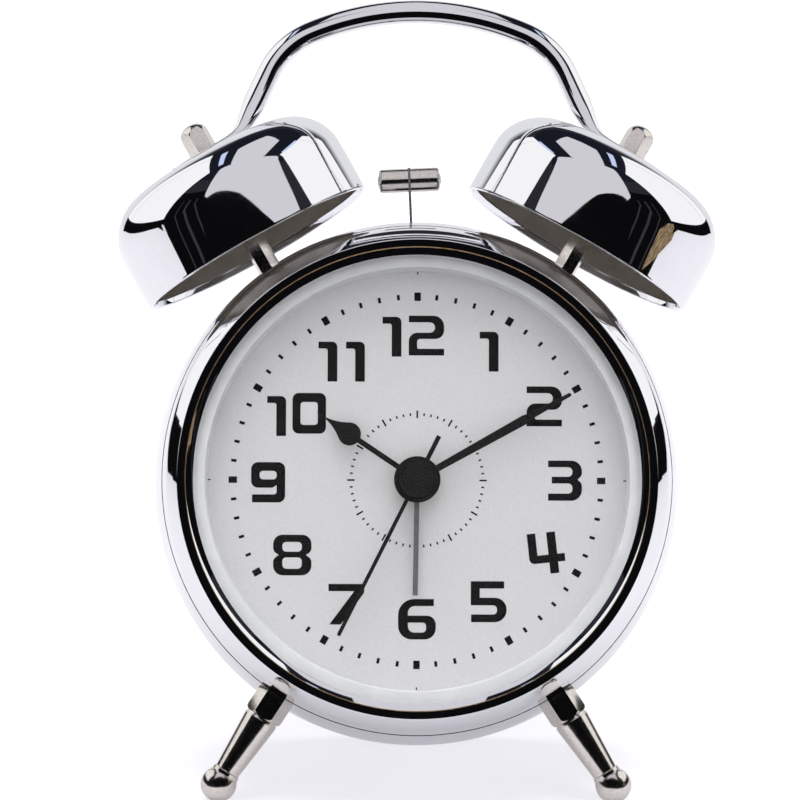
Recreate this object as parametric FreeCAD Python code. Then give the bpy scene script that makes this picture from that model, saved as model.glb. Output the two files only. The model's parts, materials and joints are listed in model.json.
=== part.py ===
"""Twin-bell alarm clock, in millimetres, one STEP file for each piece.

Every piece is drawn in the clock's own frame: Y is the dial axis and runs backwards from the
bezel's lip, X is to the right and Z is up. The whole clock is then leaned back onto its two
ball feet and the heel of its back cover, with the middle of that heel's land at the origin.
"""
import FreeCAD, Part
import math
import os
from FreeCAD import Vector

# ---- driving dimensions: sheet and fits
sheet = 0.7                     # pressed bezel and case sheet
fit_gap = 0.3                   # between pieces that come apart by hand
seat_gap = 0.1                  # between pieces that are put together once
running_gap = 0.05              # round a shaft or a pin that turns

# ---- driving dimensions: dial window, glass and bezel; drops are depths behind the lip
window_radius = 43.8            # inside of the pale ring round the dial
window_draft = 0.3              # the ring's visible wall narrows by this towards the dial
ring_face = 2.3                 # visible width of the ring's face
ring_wall = 4.8                 # whole width of the ring
ring_lip = 1.1                  # height of the ring round the edge of the glass
ring_lip_width = 2.8
ring_flange = 0.4
ring_flange_drop = 1.2          # behind the seat of the glass
bezel_inner_slope = 1.5         # widths of the bezel's steps, from the ring outwards
bezel_outer_slope = 1.4
bezel_step = 1.3
bezel_shoulder = 2.4
bezel_inner_drop = 1.4
bezel_crease_drop = 0.55
bezel_step_drop = 1.4
bezel_lip_round = 0.4
bezel_shoulder_bow = 0.7
bezel_skirt = 0.8
bezel_length = 7.4
glass_grip = 0.5                # the bezel's edge overlaps the glass by this
glass_thickness = 1.6
glass_bulge = 2.6               # how far the middle stands before the rim
dial_depth = 10.4
dial_thickness = 0.5

# ---- driving dimensions: case
case_front_step = 0.2           # the case stands proud of the bezel
case_bulge = 2.3                # from the front edge out to the widest ring
case_back_taper = 2.5
case_corner_width = 2.1
case_rim_width = 2.4
case_front_length = 19.6        # from the bezel to the widest ring
case_back_length = 19.2
case_corner_length = 1.8
pillar_radius = 2.0
pillar_angles = (45, 135, 225, 315)

# ---- driving dimensions: bells, posts, nuts and handle
bell_place = 34.1               # degrees from upright to the middle of the bell's mouth
bell_stand = 4.9                # from the widest ring out to the middle of the bell's mouth
bell_tilt = 29.5                # degrees from upright, outwards
bell_mouth_radius = 26.5
bell_height = 22.5
bell_wall = 1.0
bell_shoulder_radius = 10.1
bell_crown_radius = 200.0
bell_draft = 0.5                # the skirt is narrower at its top by this much
post_flats = 4.5
post_turn = 30.0                # a corner of the hexagon faces the front
crown_gap = 0.06                # a post's corners meet the underside of the bell's crown
stud_radius = 1.5
stud_inside = 10.0              # below the bell's mouth
strap_thickness = 1.3
strap_width = 7.6
strap_reach_in = 5.6            # from the stud towards the handle
strap_reach_out = 7.9
nut_flats = 5.5
nut_turn = 12.0                 # degrees, as tightened
nut_hex_height = 3.7
nut_height = 6.5
nut_thread = 4.0
nut_thread_end = 0.3
lock_nut_height = 2.4
handle_bar_radius = 2.5
handle_rise = 31.5              # from the bell's crown to the top of the bar's middle line
handle_top_bend = 58.2
handle_shoulder_bend = 17.4
handle_top_angle = 23.0
handle_leg_angle = 65.0
handle_round_rise = 12.0        # above the crown the bar is round from here up
handle_press_rise = 6.4         # and half flattened here
handle_press_thickness = 3.2
handle_press_width = 6.6

# ---- driving dimensions: legs and heel
leg_angle = 33.0                # degrees from straight down
leg_bezel_gap = 0.6
leg_flats = 7.0
leg_collar_length = 4.9         # beyond the case
leg_collar_round = 1.1
leg_collar_end_radius = 3.4
leg_cone_top_radius = 3.7
leg_cone_lead = 0.6
leg_cone_end_radius = 2.65
leg_neck_radius = 2.95
leg_neck_length = 0.9
leg_neck_round = 0.25
leg_reach = 19.8                # from the widest ring to the ball's middle
ball_radius = 3.75
heel_drop_below_cover = 2.7
heel_reach = 2.6                # from the cover's back to the middle of the land
heel_length = 3.2
heel_width = 24.0
heel_height = 7.2
heel_edge = 1.5
heel_root = 0.6                 # how far the heel reaches into the cover

# ---- driving dimensions: hands, seen from the front, clockwise degrees from twelve
second_angle = 206.6
minute_angle = 60.7
hour_angle = 303.8
alarm_angle = 180.8
hand_thickness = 0.3
arbor_wall = 0.64
second_arbor_radius = 0.5
hand_spacing = 1.0              # from one hand's plane to the next
first_hand_gap = 2.05           # from the dial to the alarm hand's plane
hub_height = 0.7
cap_radius = 3.7
cap_height = 1.3
cap_rim = 0.45
cap_dish = 0.2
second_length = 36.1
second_width = 0.8
second_tail = 10.0
second_tail_width = 0.95
minute_length = 36.4
minute_hub_radius = 4.8
minute_root_width = 1.3
minute_wide_width = 2.0
minute_wide_at = 25.4
minute_shoulder = 1.6
minute_neck_width = 1.25
minute_tip_width = 0.8
hour_length = 25.0
hour_hub_radius = 3.6
hour_stem_width = 1.15
hour_bulb_radius = 2.4
hour_bulb_at = 16.9
hour_tip_width = 0.2
hour_waist_width = 1.2
hour_waist_at = 21.0
alarm_length = 23.9
alarm_width = 1.05
alarm_hub_radius = 3.4

# ---- driving dimensions: movement
movement_half_width = 26.0
movement_top = 21.0
movement_bottom = -27.0
movement_corner = 4.0
movement_tail_gap = 0.4         # between the movement's back and the striker's tail
bushing_wall = 1.4
bushing_rise = 1.5              # in front of the dial
dial_nut_wall = 0.6
dial_nut_height = 1.2
arbor_end_wall = 2.4            # the second arbor ends this far inside the movement's back
arbor_stagger = 1.5
knob_spacing = 26.0
knob_z = 8.0
stem_radius = 1.5
stem_end_gap = 0.7
boss_wall = 1.1
boss_length = 3.0
knob_radius = 6.0
knob_height = 6.8
knob_edge = 0.6
knob_gap = 0.8                  # between the back cover and a knob
knob_flutes = 16
knob_flute_radius = 0.55
knob_flute_depth = 0.3

# ---- driving dimensions: striker
pivot_rise = 7.0                # above the movement
rest_lean = 2.6                 # degrees to the left
strike_lean = 6.2               # degrees either way, where the hammer all but meets a bell
pin_radius = 1.0
lever_hub_radius = 2.6
lever_depth = 4.2
lever_block_width = 3.2
lever_block_top = 8.0           # above the pivot
tail_length = 11.0
tail_width = 2.0
tail_depth = 1.8
strip_thickness = 0.5
strip_depth = 3.0
strip_seat = 4.0                # above the pivot, where the strip starts
hammer_rise = 9.5               # the hammer's axis above the widest ring
hammer_radius = 2.55
hammer_half_length = 6.2
hammer_edge = 0.7
rivet_radius = 0.9
rivet_head_radius = 1.3
rivet_head = 0.25
rivet_chamfer = 0.5
ear_thickness = 1.6
ear_half_width = 3.6
frame_wall = 1.6
frame_side_room = 1.5
frame_foot = 12.5               # length of the base on the movement
motor_x = 5.8
motor_z = 20.0
motor_radius = 7.7
motor_length = 14.5
motor_boss_radius = 3.0
motor_boss = 0.8
shaft_radius = 0.75
cam_radius = 2.5
cam_offset = 1.0
cradle_wall = 1.4
cradle_length = 10.0
slot_margin = 1.3               # beside the strip where it passes through the case
slot_depth = 5.0

# ---- driving dimensions: back cover
cover_thickness = 1.4
cover_lap = 1.7                 # over the edge of the case's opening
cover_edge = 0.8
spigot_gap = 0.2
spigot_wall = 1.6
spigot_height = 1.5
screw_radius = 1.0
screw_head_radius = 1.9
screw_head = 0.9
screw_length = 9.0
battery_radius = 7.1
battery_length = 49.2
battery_nub_radius = 2.75
battery_nub = 1.3
battery_z = -22.5
battery_back_room = 3.9         # between the battery and the case's back edge
tray_wall = 1.2
contact_thickness = 0.4
contact_half_width = 5.0
spring_room = 3.1
door_below = 1.4                # beyond the battery, down and up
door_above = 1.2
door_ledge = 0.6
door_pin_radius = 0.6
door_pin_length = 0.9
ridge_width = 13.5
ridge_height = 0.8
ridge_thickness = 1.0
ridge_inset = 1.6
switch_x = -24.0
switch_z = 24.0
switch_travel = 6.0
switch_knob = 5.2
switch_knob_height = 1.8
switch_stem = 2.4
switch_flange = 6.4
switch_sheet = 0.9
switch_wall = 0.6
switch_body_half_width = 4.2
switch_body_half_height = 8.0
switch_body_thickness = 3.5

# ---- worked out: radii and depths of the front
bezel_inner_radius = window_radius + ring_face
bezel_crease_radius = bezel_inner_radius + bezel_inner_slope
bezel_lip_radius = bezel_crease_radius + bezel_outer_slope
bezel_step_radius = bezel_lip_radius + bezel_step
bezel_outer_radius = bezel_step_radius + bezel_shoulder
skirt_bore = bezel_outer_radius - sheet
glass_radius = bezel_inner_radius + glass_grip
glass_seat_depth = bezel_inner_drop + sheet + seat_gap + glass_thickness
ring_foot_radius = window_radius + ring_wall
ring_seat_depth = glass_seat_depth + ring_flange_drop
dial_radius = ring_foot_radius - seat_gap
pillar_circle = window_radius + pillar_radius + seat_gap * 2

# ---- worked out: case and back
neck_radius = skirt_bore - fit_gap
case_front_radius = bezel_outer_radius + case_front_step
case_middle_radius = case_front_radius + case_bulge
case_back_radius = case_middle_radius - case_back_taper
case_corner_radius = case_back_radius - case_corner_width
case_opening_radius = case_corner_radius - case_rim_width
case_middle_depth = bezel_length + case_front_length
case_bend_depth = case_middle_depth + case_back_length
case_back_depth = case_bend_depth + case_corner_length
cover_back_depth = case_back_depth + cover_thickness
cover_radius = case_opening_radius + cover_lap
spigot_radius = case_opening_radius - spigot_gap

# ---- worked out: bells, handle, legs and the way the clock stands
bell_mouth_x = (case_middle_radius + bell_stand) * math.sin(math.radians(bell_place))
bell_mouth_z = (case_middle_radius + bell_stand) * math.cos(math.radians(bell_place))
crown_z = bell_mouth_z + bell_height * math.cos(math.radians(bell_tilt))
handle_top_z = crown_z + handle_rise
leg_depth = bezel_length + leg_bezel_gap + leg_flats / 2
ball_distance = case_middle_radius + leg_reach
ball_drop = ball_distance * math.cos(math.radians(leg_angle))
heel_drop = cover_radius + heel_drop_below_cover
heel_depth = cover_back_depth + heel_reach
foot_span = heel_depth - leg_depth
foot_step = ball_drop - heel_drop
lean = math.asin(ball_radius / math.hypot(foot_span, foot_step)) + math.atan2(foot_step, foot_span)

# ---- worked out: hands, movement and striker
alarm_plane = dial_depth - first_hand_gap
hour_plane = alarm_plane - hand_spacing
minute_plane = hour_plane - hand_spacing
second_plane = minute_plane - hand_spacing
minute_tube_radius = second_arbor_radius + running_gap + arbor_wall
hour_tube_radius = minute_tube_radius + running_gap + arbor_wall
alarm_tube_radius = hour_tube_radius + running_gap + arbor_wall
bushing_bore = alarm_tube_radius + running_gap
bushing_radius = bushing_bore + bushing_wall
knob_x = knob_spacing / 2
lever_front = case_middle_depth - lever_depth / 2
lever_back = case_middle_depth + lever_depth / 2
movement_back_depth = lever_back - tail_depth - movement_tail_gap
arbor_end_depth = movement_back_depth - arbor_end_wall
stem_end_depth = movement_back_depth + stem_end_gap
pivot_z = movement_top + pivot_rise
hammer_arm = case_middle_radius + hammer_rise - pivot_z

# ---- worked out: battery bay and its door
battery_depth = case_back_depth - battery_back_room - battery_radius
tray_half_length = (battery_length + battery_nub + contact_thickness + spring_room) / 2
door_bottom = battery_z - battery_radius - door_below
door_top = battery_z + battery_radius + door_above
door_pin_z = door_bottom + cover_thickness / 2
door_pin_depth = case_back_depth + cover_thickness / 2
door_half = tray_half_length + door_ledge - fit_gap

os.makedirs("parts", exist_ok=True)


# ---- shape helpers
def outline(*steps):
    """Closed face from points in one plane; a pair of points is an arc through the first of them."""
    edges = []
    here = Vector(*steps[0])
    for step in steps[1:] + steps[:1]:
        if isinstance(step[0], tuple):
            edges.append(Part.Arc(here, Vector(*step[0]), Vector(*step[1])).toShape())
            here = Vector(*step[1])
        elif here.distanceToPoint(Vector(*step)) > 1e-6:
            edges.append(Part.LineSegment(here, Vector(*step)).toShape())
            here = Vector(*step)
    return Part.Face(Part.Wire(edges))


def rounded(start, corner, end):
    """Arc step from one outline point to another that rounds off the corner between them."""
    near = 1 - math.sqrt(0.5)
    middle = tuple(near * (a + b) + (1 - 2 * near) * c for a, b, c in zip(start, end, corner))
    return middle, end


def bowed(start, end, bow):
    """Arc step whose middle stands off the straight line, to the right of its direction."""
    across = (end[1] - start[1], start[0] - end[0])
    length = math.hypot(*across)
    middle = tuple((a + b) / 2 + bow * c / length for a, b, c in zip(start, end, across))
    return middle, end


def raised(step):
    """The same outline step with a third coordinate."""
    if isinstance(step[0], tuple):
        return tuple((a, b, 0) for a, b in step)
    return (step[0], step[1], 0)


def about_dial(*steps):
    """Solid of revolution about the dial axis, from a (radius, depth) outline."""
    return outline(*[raised(step) for step in steps]).revolve(Vector(), Vector(0, 1, 0), 360)


def about_up(*steps):
    """Solid of revolution about Z, from a (radius, height) outline."""
    upright = outline(*[raised(step) for step in steps])
    upright.rotate(Vector(), Vector(1, 0, 0), 90)
    return upright.revolve(Vector(), Vector(0, 0, 1), 360)


def rod(radius, start_depth, end_depth, x=0.0, z=0.0):
    """Cylinder along the dial axis's direction."""
    return Part.makeCylinder(radius, end_depth - start_depth, Vector(x, start_depth, z), Vector(0, 1, 0))


def upright_rod(radius, bottom, top):
    return Part.makeCylinder(radius, top - bottom, Vector(0, 0, bottom))


def cross_rod(radius, start_x, end_x, depth, z):
    """Cylinder across the clock, from left to right."""
    return Part.makeCylinder(radius, end_x - start_x, Vector(start_x, depth, z), Vector(1, 0, 0))


def block(x0, x1, y0, y1, z0, z1):
    return Part.makeBox(x1 - x0, y1 - y0, z1 - z0, Vector(x0, y0, z0))


def hexagon(flats, bottom, top, turn=0.0):
    """Hexagonal prism along Z, with flats to the front and back."""
    corner = flats / math.sqrt(3)
    angles = [math.radians(turn + 60 * step) for step in range(6)]
    points = [Vector(corner * math.cos(a), corner * math.sin(a), bottom) for a in angles]
    face = Part.Face(Part.makePolygon(points + points[:1]))
    return face.extrude(Vector(0, 0, top - bottom))


def plate(depth, thickness, *steps):
    """Flat piece across the dial axis, from an (x, z) outline, centred on a depth."""
    front = depth - thickness / 2
    flat = [tuple((a, front, b) for a, b in step) if isinstance(step[0], tuple)
            else (step[0], front, step[1]) for step in steps]
    return outline(*flat).extrude(Vector(0, thickness, 0))


def join(first, *others):
    return first.fuse(list(others)).removeSplitter()


def mirrored(shape):
    return shape.mirror(Vector(), Vector(1, 0, 0))


def both_sides(shape):
    return [shape, mirrored(shape)]


def around_clock(radius, degrees):
    """Point (x, z) on a circle round the dial axis."""
    angle = math.radians(degrees)
    return radius * math.sin(angle), radius * math.cos(angle)


def four_rods(radius, start_depth, end_depth):
    """The same cylinder at each of the four clamping pillars."""
    places = [around_clock(pillar_circle, angle) for angle in pillar_angles]
    return [rod(radius, start_depth, end_depth, *place) for place in places]


def rim_edges(shape, depth):
    """Circular edges of a turned shape at one depth."""
    return [edge for edge in shape.Edges if abs(edge.CenterOfMass.y - depth) < 1e-3]


def at_clock_angle(shape, degrees):
    """Turn a hand that points to twelve clockwise, seen from the front."""
    turned = shape.copy()
    turned.rotate(Vector(), Vector(0, 1, 0), degrees)
    return turned


def on_bell_axis(shape):
    """Move a shape from its own upright axis to the right bell's axis, mouth at zero height."""
    moved = shape.copy()
    moved.rotate(Vector(), Vector(0, 1, 0), bell_tilt)
    moved.translate(Vector(bell_mouth_x, case_middle_depth, bell_mouth_z))
    return moved


def on_leg_axis(shape):
    """Move a shape from its own upright axis to the right leg's axis, dial axis at zero height."""
    moved = shape.copy()
    moved.rotate(Vector(), Vector(0, 1, 0), 180 - leg_angle)
    moved.translate(Vector(0, leg_depth, 0))
    return moved


# ---- case and front
def case_wall_outline(inset):
    """The drum's outer wall from front shoulder to back corner, set in by a wall thickness."""
    bend = (case_back_radius - inset, case_bend_depth)
    back = case_back_depth - inset
    wall = ((case_middle_radius - inset, case_middle_depth), bend)
    return wall, rounded(bend, (bend[0], back), (case_corner_radius, back))


def case_filled(inset):
    """The drum as a closed body, to trim what is seated on it or held inside."""
    wall, corner = case_wall_outline(inset)
    front = bezel_length + inset
    return about_dial((0, front), (case_front_radius - inset, front), wall, corner, (0, corner[1][1]))


def case_wall_radius(depth):
    """Outer radius of the barrel-shaped wall at a depth."""
    circle = Part.Circle(Vector(case_front_radius, bezel_length, 0),
                         Vector(case_middle_radius, case_middle_depth, 0),
                         Vector(case_back_radius, case_bend_depth, 0))
    return circle.Center.x + math.sqrt(circle.Radius ** 2 - (depth - circle.Center.y) ** 2)


def striker_slot():
    """Slot in the top of the case, as wide as the strip's travel there."""
    sway = (case_middle_radius - pivot_z) * math.tan(math.radians(strike_lean))
    half = sway + strip_thickness / 2 + slot_margin
    return block(-half, half, case_middle_depth - slot_depth / 2, case_middle_depth + slot_depth / 2,
                 case_middle_radius - 4 * sheet, case_middle_radius + sheet)


def case_shell():
    """Drum with a turned-in neck that the bezel is pressed over, and a turned-in back rim."""
    neck_bore = neck_radius - sheet
    wall, corner = case_wall_outline(0)
    inner_wall, inner_corner = case_wall_outline(sheet)
    shell = about_dial(
        (neck_radius, ring_seat_depth), (neck_radius, bezel_length), (case_front_radius, bezel_length),
        wall, corner, (case_opening_radius, case_back_depth),
        (case_opening_radius, case_back_depth - sheet), inner_corner[1], (inner_corner[0], inner_wall[1]),
        (inner_wall[0], (case_front_radius - sheet, bezel_length + sheet)),
        (neck_bore, bezel_length + sheet), (neck_bore, ring_seat_depth))
    hole_radius = stud_radius + seat_gap
    post_hole = on_bell_axis(upright_rod(hole_radius, -stud_inside, 0))
    leg_hole = on_leg_axis(upright_rod(hole_radius, ring_foot_radius, ball_distance))
    return shell.cut([striker_slot(), *both_sides(post_hole), *both_sides(leg_hole)])


def bezel_ring():
    """Pressed ring: two-facet inner slope, raised lip, step and rounded outer shoulder."""
    step = (bezel_step_radius, bezel_step_drop)
    skirt = (bezel_outer_radius, bezel_length - bezel_skirt)
    inner_step = (bezel_step_radius - sheet, bezel_step_drop + sheet)
    inner_skirt = (skirt_bore, bezel_length - bezel_skirt)
    lip_start = (bezel_lip_radius - bezel_lip_round, bezel_lip_round / 4)
    lip_end = (bezel_lip_radius + bezel_lip_round, bezel_lip_round / 4)
    return about_dial(
        (bezel_inner_radius, bezel_inner_drop), (bezel_crease_radius, bezel_crease_drop),
        lip_start, ((bezel_lip_radius, 0), lip_end), step, bowed(step, skirt, bezel_shoulder_bow),
        (bezel_outer_radius, bezel_length), (skirt_bore, bezel_length), inner_skirt,
        bowed(inner_skirt, inner_step, -bezel_shoulder_bow), (bezel_lip_radius, sheet),
        (bezel_crease_radius, bezel_crease_drop + sheet), (bezel_inner_radius, bezel_inner_drop + sheet))


def glass_lens():
    """Domed glass of even thickness with a square edge."""
    rim = glass_seat_depth - glass_thickness
    half = glass_radius / 2
    three_quarters = glass_bulge * 0.75
    front = about_dial((0, rim - glass_bulge), ((half, rim - three_quarters), (glass_radius, rim)), (0, rim))
    hollow = about_dial((0, glass_seat_depth - glass_bulge),
                        ((half, glass_seat_depth - three_quarters), (glass_radius, glass_seat_depth)),
                        (0, glass_seat_depth))
    edge = rod(glass_radius, rim, glass_seat_depth)
    return front.fuse(edge).cut(hollow).removeSplitter()


def dial_surround():
    """Moulded ring that seats the glass and the dial, with the four pillars that clamp the case."""
    glass_wall = glass_radius + seat_gap
    lip_depth = glass_seat_depth - ring_lip
    flange_radius = neck_radius - fit_gap
    socket_radius = neck_radius - sheet - seat_gap
    ring = about_dial(
        (window_radius, glass_seat_depth), (glass_wall, glass_seat_depth), (glass_wall, lip_depth),
        (glass_wall + ring_lip_width, lip_depth), (flange_radius, ring_seat_depth - ring_flange),
        (flange_radius, ring_seat_depth), (socket_radius, ring_seat_depth), (socket_radius, bezel_length),
        (ring_foot_radius, bezel_length), (ring_foot_radius, dial_depth),
        (window_radius - window_draft, dial_depth))
    pillars = four_rods(pillar_radius, dial_depth, case_back_depth)
    bores = four_rods(screw_radius, case_back_depth - screw_length, case_back_depth)
    return join(ring, *pillars).cut(bores)


def dial_plate():
    """Disc behind the ring, notched for the pillars and bored for the movement's bushing."""
    disc = rod(dial_radius, dial_depth, dial_depth + dial_thickness)
    notches = four_rods(pillar_radius + seat_gap, 0, case_back_depth)
    return disc.cut([*notches, rod(bushing_radius + seat_gap, 0, case_back_depth)])


def dial_nut():
    ring = rod(bushing_radius + dial_nut_wall, dial_depth - dial_nut_height, dial_depth)
    return ring.cut(rod(bushing_radius, 0, dial_depth))


# ---- movement and hands
def movement_housing():
    """Closed plastic box with the threaded bushing in front and two stem bosses behind."""
    front = dial_depth + dial_thickness
    box = block(-movement_half_width, movement_half_width, front, movement_back_depth,
                movement_bottom, movement_top)
    box = box.makeFillet(movement_corner, [edge for edge in box.Edges if along_depth(edge)])
    bushing = rod(bushing_radius, dial_depth - bushing_rise, movement_back_depth)
    socket_radius = stem_radius + running_gap
    boss = rod(socket_radius + boss_wall, movement_back_depth, movement_back_depth + boss_length,
               knob_x, knob_z)
    socket = rod(socket_radius, stem_end_depth - fit_gap, case_back_depth, knob_x, knob_z)
    bore = rod(bushing_bore, 0, arbor_end_depth + fit_gap)
    return join(box, bushing, *both_sides(boss)).cut([*both_sides(socket), bore])


def along_depth(edge):
    ends = [vertex.Point for vertex in edge.Vertexes]
    return abs(ends[0].x - ends[1].x) < 1e-6 and abs(ends[0].z - ends[1].z) < 1e-6


def arbor(radius, bore, plane, stagger):
    """Tube, or shaft where the bore is zero, from a hand's hub back into the movement."""
    start = plane - hub_height / 2
    tube = rod(radius, start, arbor_end_depth - stagger * arbor_stagger)
    return tube.cut(rod(bore, 0, case_back_depth)) if bore else tube


def hub(radius, plane):
    return rod(radius, plane - hub_height / 2, plane + hub_height / 2)


def second_hand():
    """Thin pointer with a tail, under a dished round cap."""
    half = second_width / 2
    tail_half = second_tail_width / 2
    blade = plate(second_plane, hand_thickness, (-half, 0), (-half, second_length - half),
                  ((0, second_length), (half, second_length - half)), (half, 0))
    tail = plate(second_plane, hand_thickness, (-tail_half, 0), (tail_half, 0),
                 (tail_half, -second_tail), (-tail_half, -second_tail))
    back = second_plane + hub_height / 2
    front = back - cap_height
    cap = rod(cap_radius, front, back).cut(rod(cap_radius - cap_rim, front, front + cap_dish))
    shaft_hole = rod(second_arbor_radius, second_plane - hub_height / 2, back)
    return at_clock_angle(join(blade, tail, cap).cut(shaft_hole), second_angle)


def minute_hand():
    """Blade that widens outwards, then steps in to a narrow point."""
    root = minute_root_width / 2
    wide = minute_wide_width / 2
    neck = minute_neck_width / 2
    tip = minute_tip_width / 2
    neck_at = minute_wide_at + minute_shoulder
    blade = plate(minute_plane, hand_thickness, (-root, 0), (-wide, minute_wide_at), (-neck, neck_at),
                  (-tip, minute_length - tip), ((0, minute_length), (tip, minute_length - tip)),
                  (neck, neck_at), (wide, minute_wide_at), (root, 0))
    whole = join(blade, hub(minute_hub_radius, minute_plane))
    return at_clock_angle(whole.cut(rod(minute_tube_radius, 0, dial_depth)), minute_angle)


def hour_hand():
    """Stem, round bulb and a point that narrows in two hollow curves."""
    half = hour_stem_width / 2
    stem = plate(hour_plane, hand_thickness, (-half, 0), (-half, hour_bulb_at), (half, hour_bulb_at),
                 (half, 0))
    front = hour_plane - hand_thickness / 2
    bulb = rod(hour_bulb_radius, front, front + hand_thickness, 0, hour_bulb_at)
    root, rise = around_clock(hour_bulb_radius, math.degrees(math.acos(0.6)))
    root_at = hour_bulb_at + rise
    waist = hour_waist_width / 2
    tip = hour_tip_width / 2
    point = plate(hour_plane, hand_thickness, (-root, root_at),
                  ((-waist, hour_waist_at), (-tip, hour_length)), (tip, hour_length),
                  ((waist, hour_waist_at), (root, root_at)))
    whole = join(stem, bulb, point, hub(hour_hub_radius, hour_plane))
    return at_clock_angle(whole.cut(rod(hour_tube_radius, 0, dial_depth)), hour_angle)


def alarm_hand():
    half = alarm_width / 2
    blade = plate(alarm_plane, hand_thickness, (-half, 0), (-half, alarm_length), (half, alarm_length),
                  (half, 0))
    whole = join(blade, hub(alarm_hub_radius, alarm_plane))
    return at_clock_angle(whole.cut(rod(alarm_tube_radius, 0, dial_depth)), alarm_angle)


def setting_knob():
    """Fluted knob, right of the middle, on a stem that ends inside the movement's boss."""
    front = cover_back_depth + knob_gap
    back = front + knob_height
    head = rod(knob_radius, front, back, knob_x, knob_z)
    head = head.makeFillet(knob_edge, rim_edges(head, back))
    flute_circle = knob_radius + knob_flute_radius - knob_flute_depth
    flutes = []
    for step in range(knob_flutes):
        dx, dz = around_clock(flute_circle, 360 * step / knob_flutes)
        flutes.append(rod(knob_flute_radius, cover_back_depth, back + knob_gap, knob_x + dx, knob_z + dz))
    return join(head.cut(flutes), rod(stem_radius, stem_end_depth, front + knob_gap, knob_x, knob_z))


# ---- bells, posts, nuts and handle
def bell_form(inset):
    """Closed bell body: drafted skirt, round shoulder and low crown."""
    mouth = bell_mouth_radius - inset
    top = bell_height - inset
    crown = bell_crown_radius - inset
    skirt_top = mouth - bell_draft
    fall = crown - math.sqrt(crown ** 2 - skirt_top ** 2)
    half_fall = crown - math.sqrt(crown ** 2 - (skirt_top / 2) ** 2)
    form = about_up((0, 0), (mouth, 0), (skirt_top, top - fall), ((skirt_top / 2, top - half_fall), (0, top)))
    shoulder = [edge for edge in form.Edges if abs(edge.BoundBox.ZMin - (top - fall)) < 1e-3
                and edge.BoundBox.ZLength < 1e-3]
    return form.makeFillet(bell_shoulder_radius - inset, shoulder)


def bell():
    shell = bell_form(0).cut(bell_form(bell_wall))
    return on_bell_axis(shell.cut(upright_rod(stud_radius + seat_gap, 0, 2 * bell_height)))


def bell_post():
    """Hexagon spacer from the case to the bell's crown, with a stud through both."""
    spacer = hexagon(post_flats, -stud_inside, bell_height - bell_wall - crown_gap, post_turn)
    stud = upright_rod(stud_radius, -stud_inside, bell_height + strap_thickness + nut_thread)
    return join(on_bell_axis(spacer).cut(case_filled(0)), on_bell_axis(stud))


def acorn_nut():
    """Hexagon nut with a domed cap, threaded onto the end of the stud."""
    base = bell_height + strap_thickness
    top = base + nut_height
    corner_radius = nut_flats / math.sqrt(3)
    start = (corner_radius, base + nut_hex_height)
    dome = about_up((0, base), (corner_radius, base), start,
                    rounded(start, (corner_radius, top), (0, top)))
    thread = upright_rod(stud_radius, base, base + nut_thread + nut_thread_end)
    return on_bell_axis(hexagon(nut_flats, base, top, nut_turn).common(dome).cut(thread))


def handle():
    """Round bar bent in three arcs, pressed flat at each end into a strap with a stud hole."""
    leg = math.radians(handle_leg_angle)
    hoop = Vector(0, case_middle_depth, handle_top_z - handle_top_bend)
    turn_in = hoop + leaning(handle_top_angle) * handle_top_bend
    shoulder = turn_in - leaning(handle_top_angle) * handle_shoulder_bend
    turn_mid = shoulder + leaning((handle_top_angle + handle_leg_angle) / 2) * handle_shoulder_bend
    turn_out = shoulder + leaning(handle_leg_angle) * handle_shoulder_bend
    down = leaning(handle_leg_angle + 90)
    round_end = turn_out + down * ((turn_out.z - crown_z - handle_round_rise) / math.sin(leg))
    press = turn_out + down * ((turn_out.z - crown_z - handle_press_rise) / math.sin(leg))
    top = Vector(0, case_middle_depth, handle_top_z)
    middle_line = Part.Wire([
        Part.LineSegment(round_end, turn_out).toShape(), Part.Arc(turn_out, turn_mid, turn_in).toShape(),
        Part.Arc(turn_in, top, flipped(turn_in)).toShape(),
        Part.Arc(flipped(turn_in), flipped(turn_mid), flipped(turn_out)).toShape(),
        Part.LineSegment(flipped(turn_out), flipped(round_end)).toShape()])
    section = Part.Wire(Part.makeCircle(handle_bar_radius, round_end, down))
    bar = middle_line.makePipeShell([section], True, False)
    side = join(*pressed_end(round_end, press, down), on_bell_axis(handle_strap()))
    return join(bar, *both_sides(side))


def pressed_end(round_end, press, down):
    """Two lofts that lead the round bar, through a half flattened section, into the strap."""
    across = Vector(0, 1, 0)
    over = down.cross(across).normalize()
    axis = leaning(bell_tilt)
    crown = Vector(bell_mouth_x, case_middle_depth, bell_mouth_z) + axis * (bell_height + strap_thickness / 2)
    strap_start = crown + leaning(bell_tilt - 90) * strap_reach_in
    round_section = four_arcs(round_end, across, over, handle_bar_radius)
    press_section = rectangle(press, across, over, handle_press_width, handle_press_thickness)
    strap_section = rectangle(strap_start, across, axis, strap_width, strap_thickness)
    return (Part.makeLoft([round_section, press_section], True, True),
            Part.makeLoft([press_section, strap_section], True, True))


def handle_strap():
    """Flat end on the bell's crown, in the bell's own upright frame."""
    end_radius = strap_width / 2
    end_x = strap_reach_out - end_radius
    top = bell_height + strap_thickness
    disc = Part.makeCylinder(end_radius, strap_thickness, Vector(end_x, 0, bell_height))
    flat = block(-strap_reach_in, end_x, -end_radius, end_radius, bell_height, top)
    return disc.fuse(flat).cut(upright_rod(stud_radius + seat_gap, 0, top + strap_thickness))


def leaning(degrees):
    """Unit direction that leans from upright to the right."""
    angle = math.radians(degrees)
    return Vector(math.sin(angle), 0, math.cos(angle))


def flipped(point):
    return Vector(-point.x, point.y, point.z)


def rectangle(middle, across, over, width, thickness):
    corners = [middle + across * (a * width / 2) + over * (b * thickness / 2)
               for a, b in ((1, 1), (-1, 1), (-1, -1), (1, -1))]
    return Part.makePolygon(corners + corners[:1])


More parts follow.
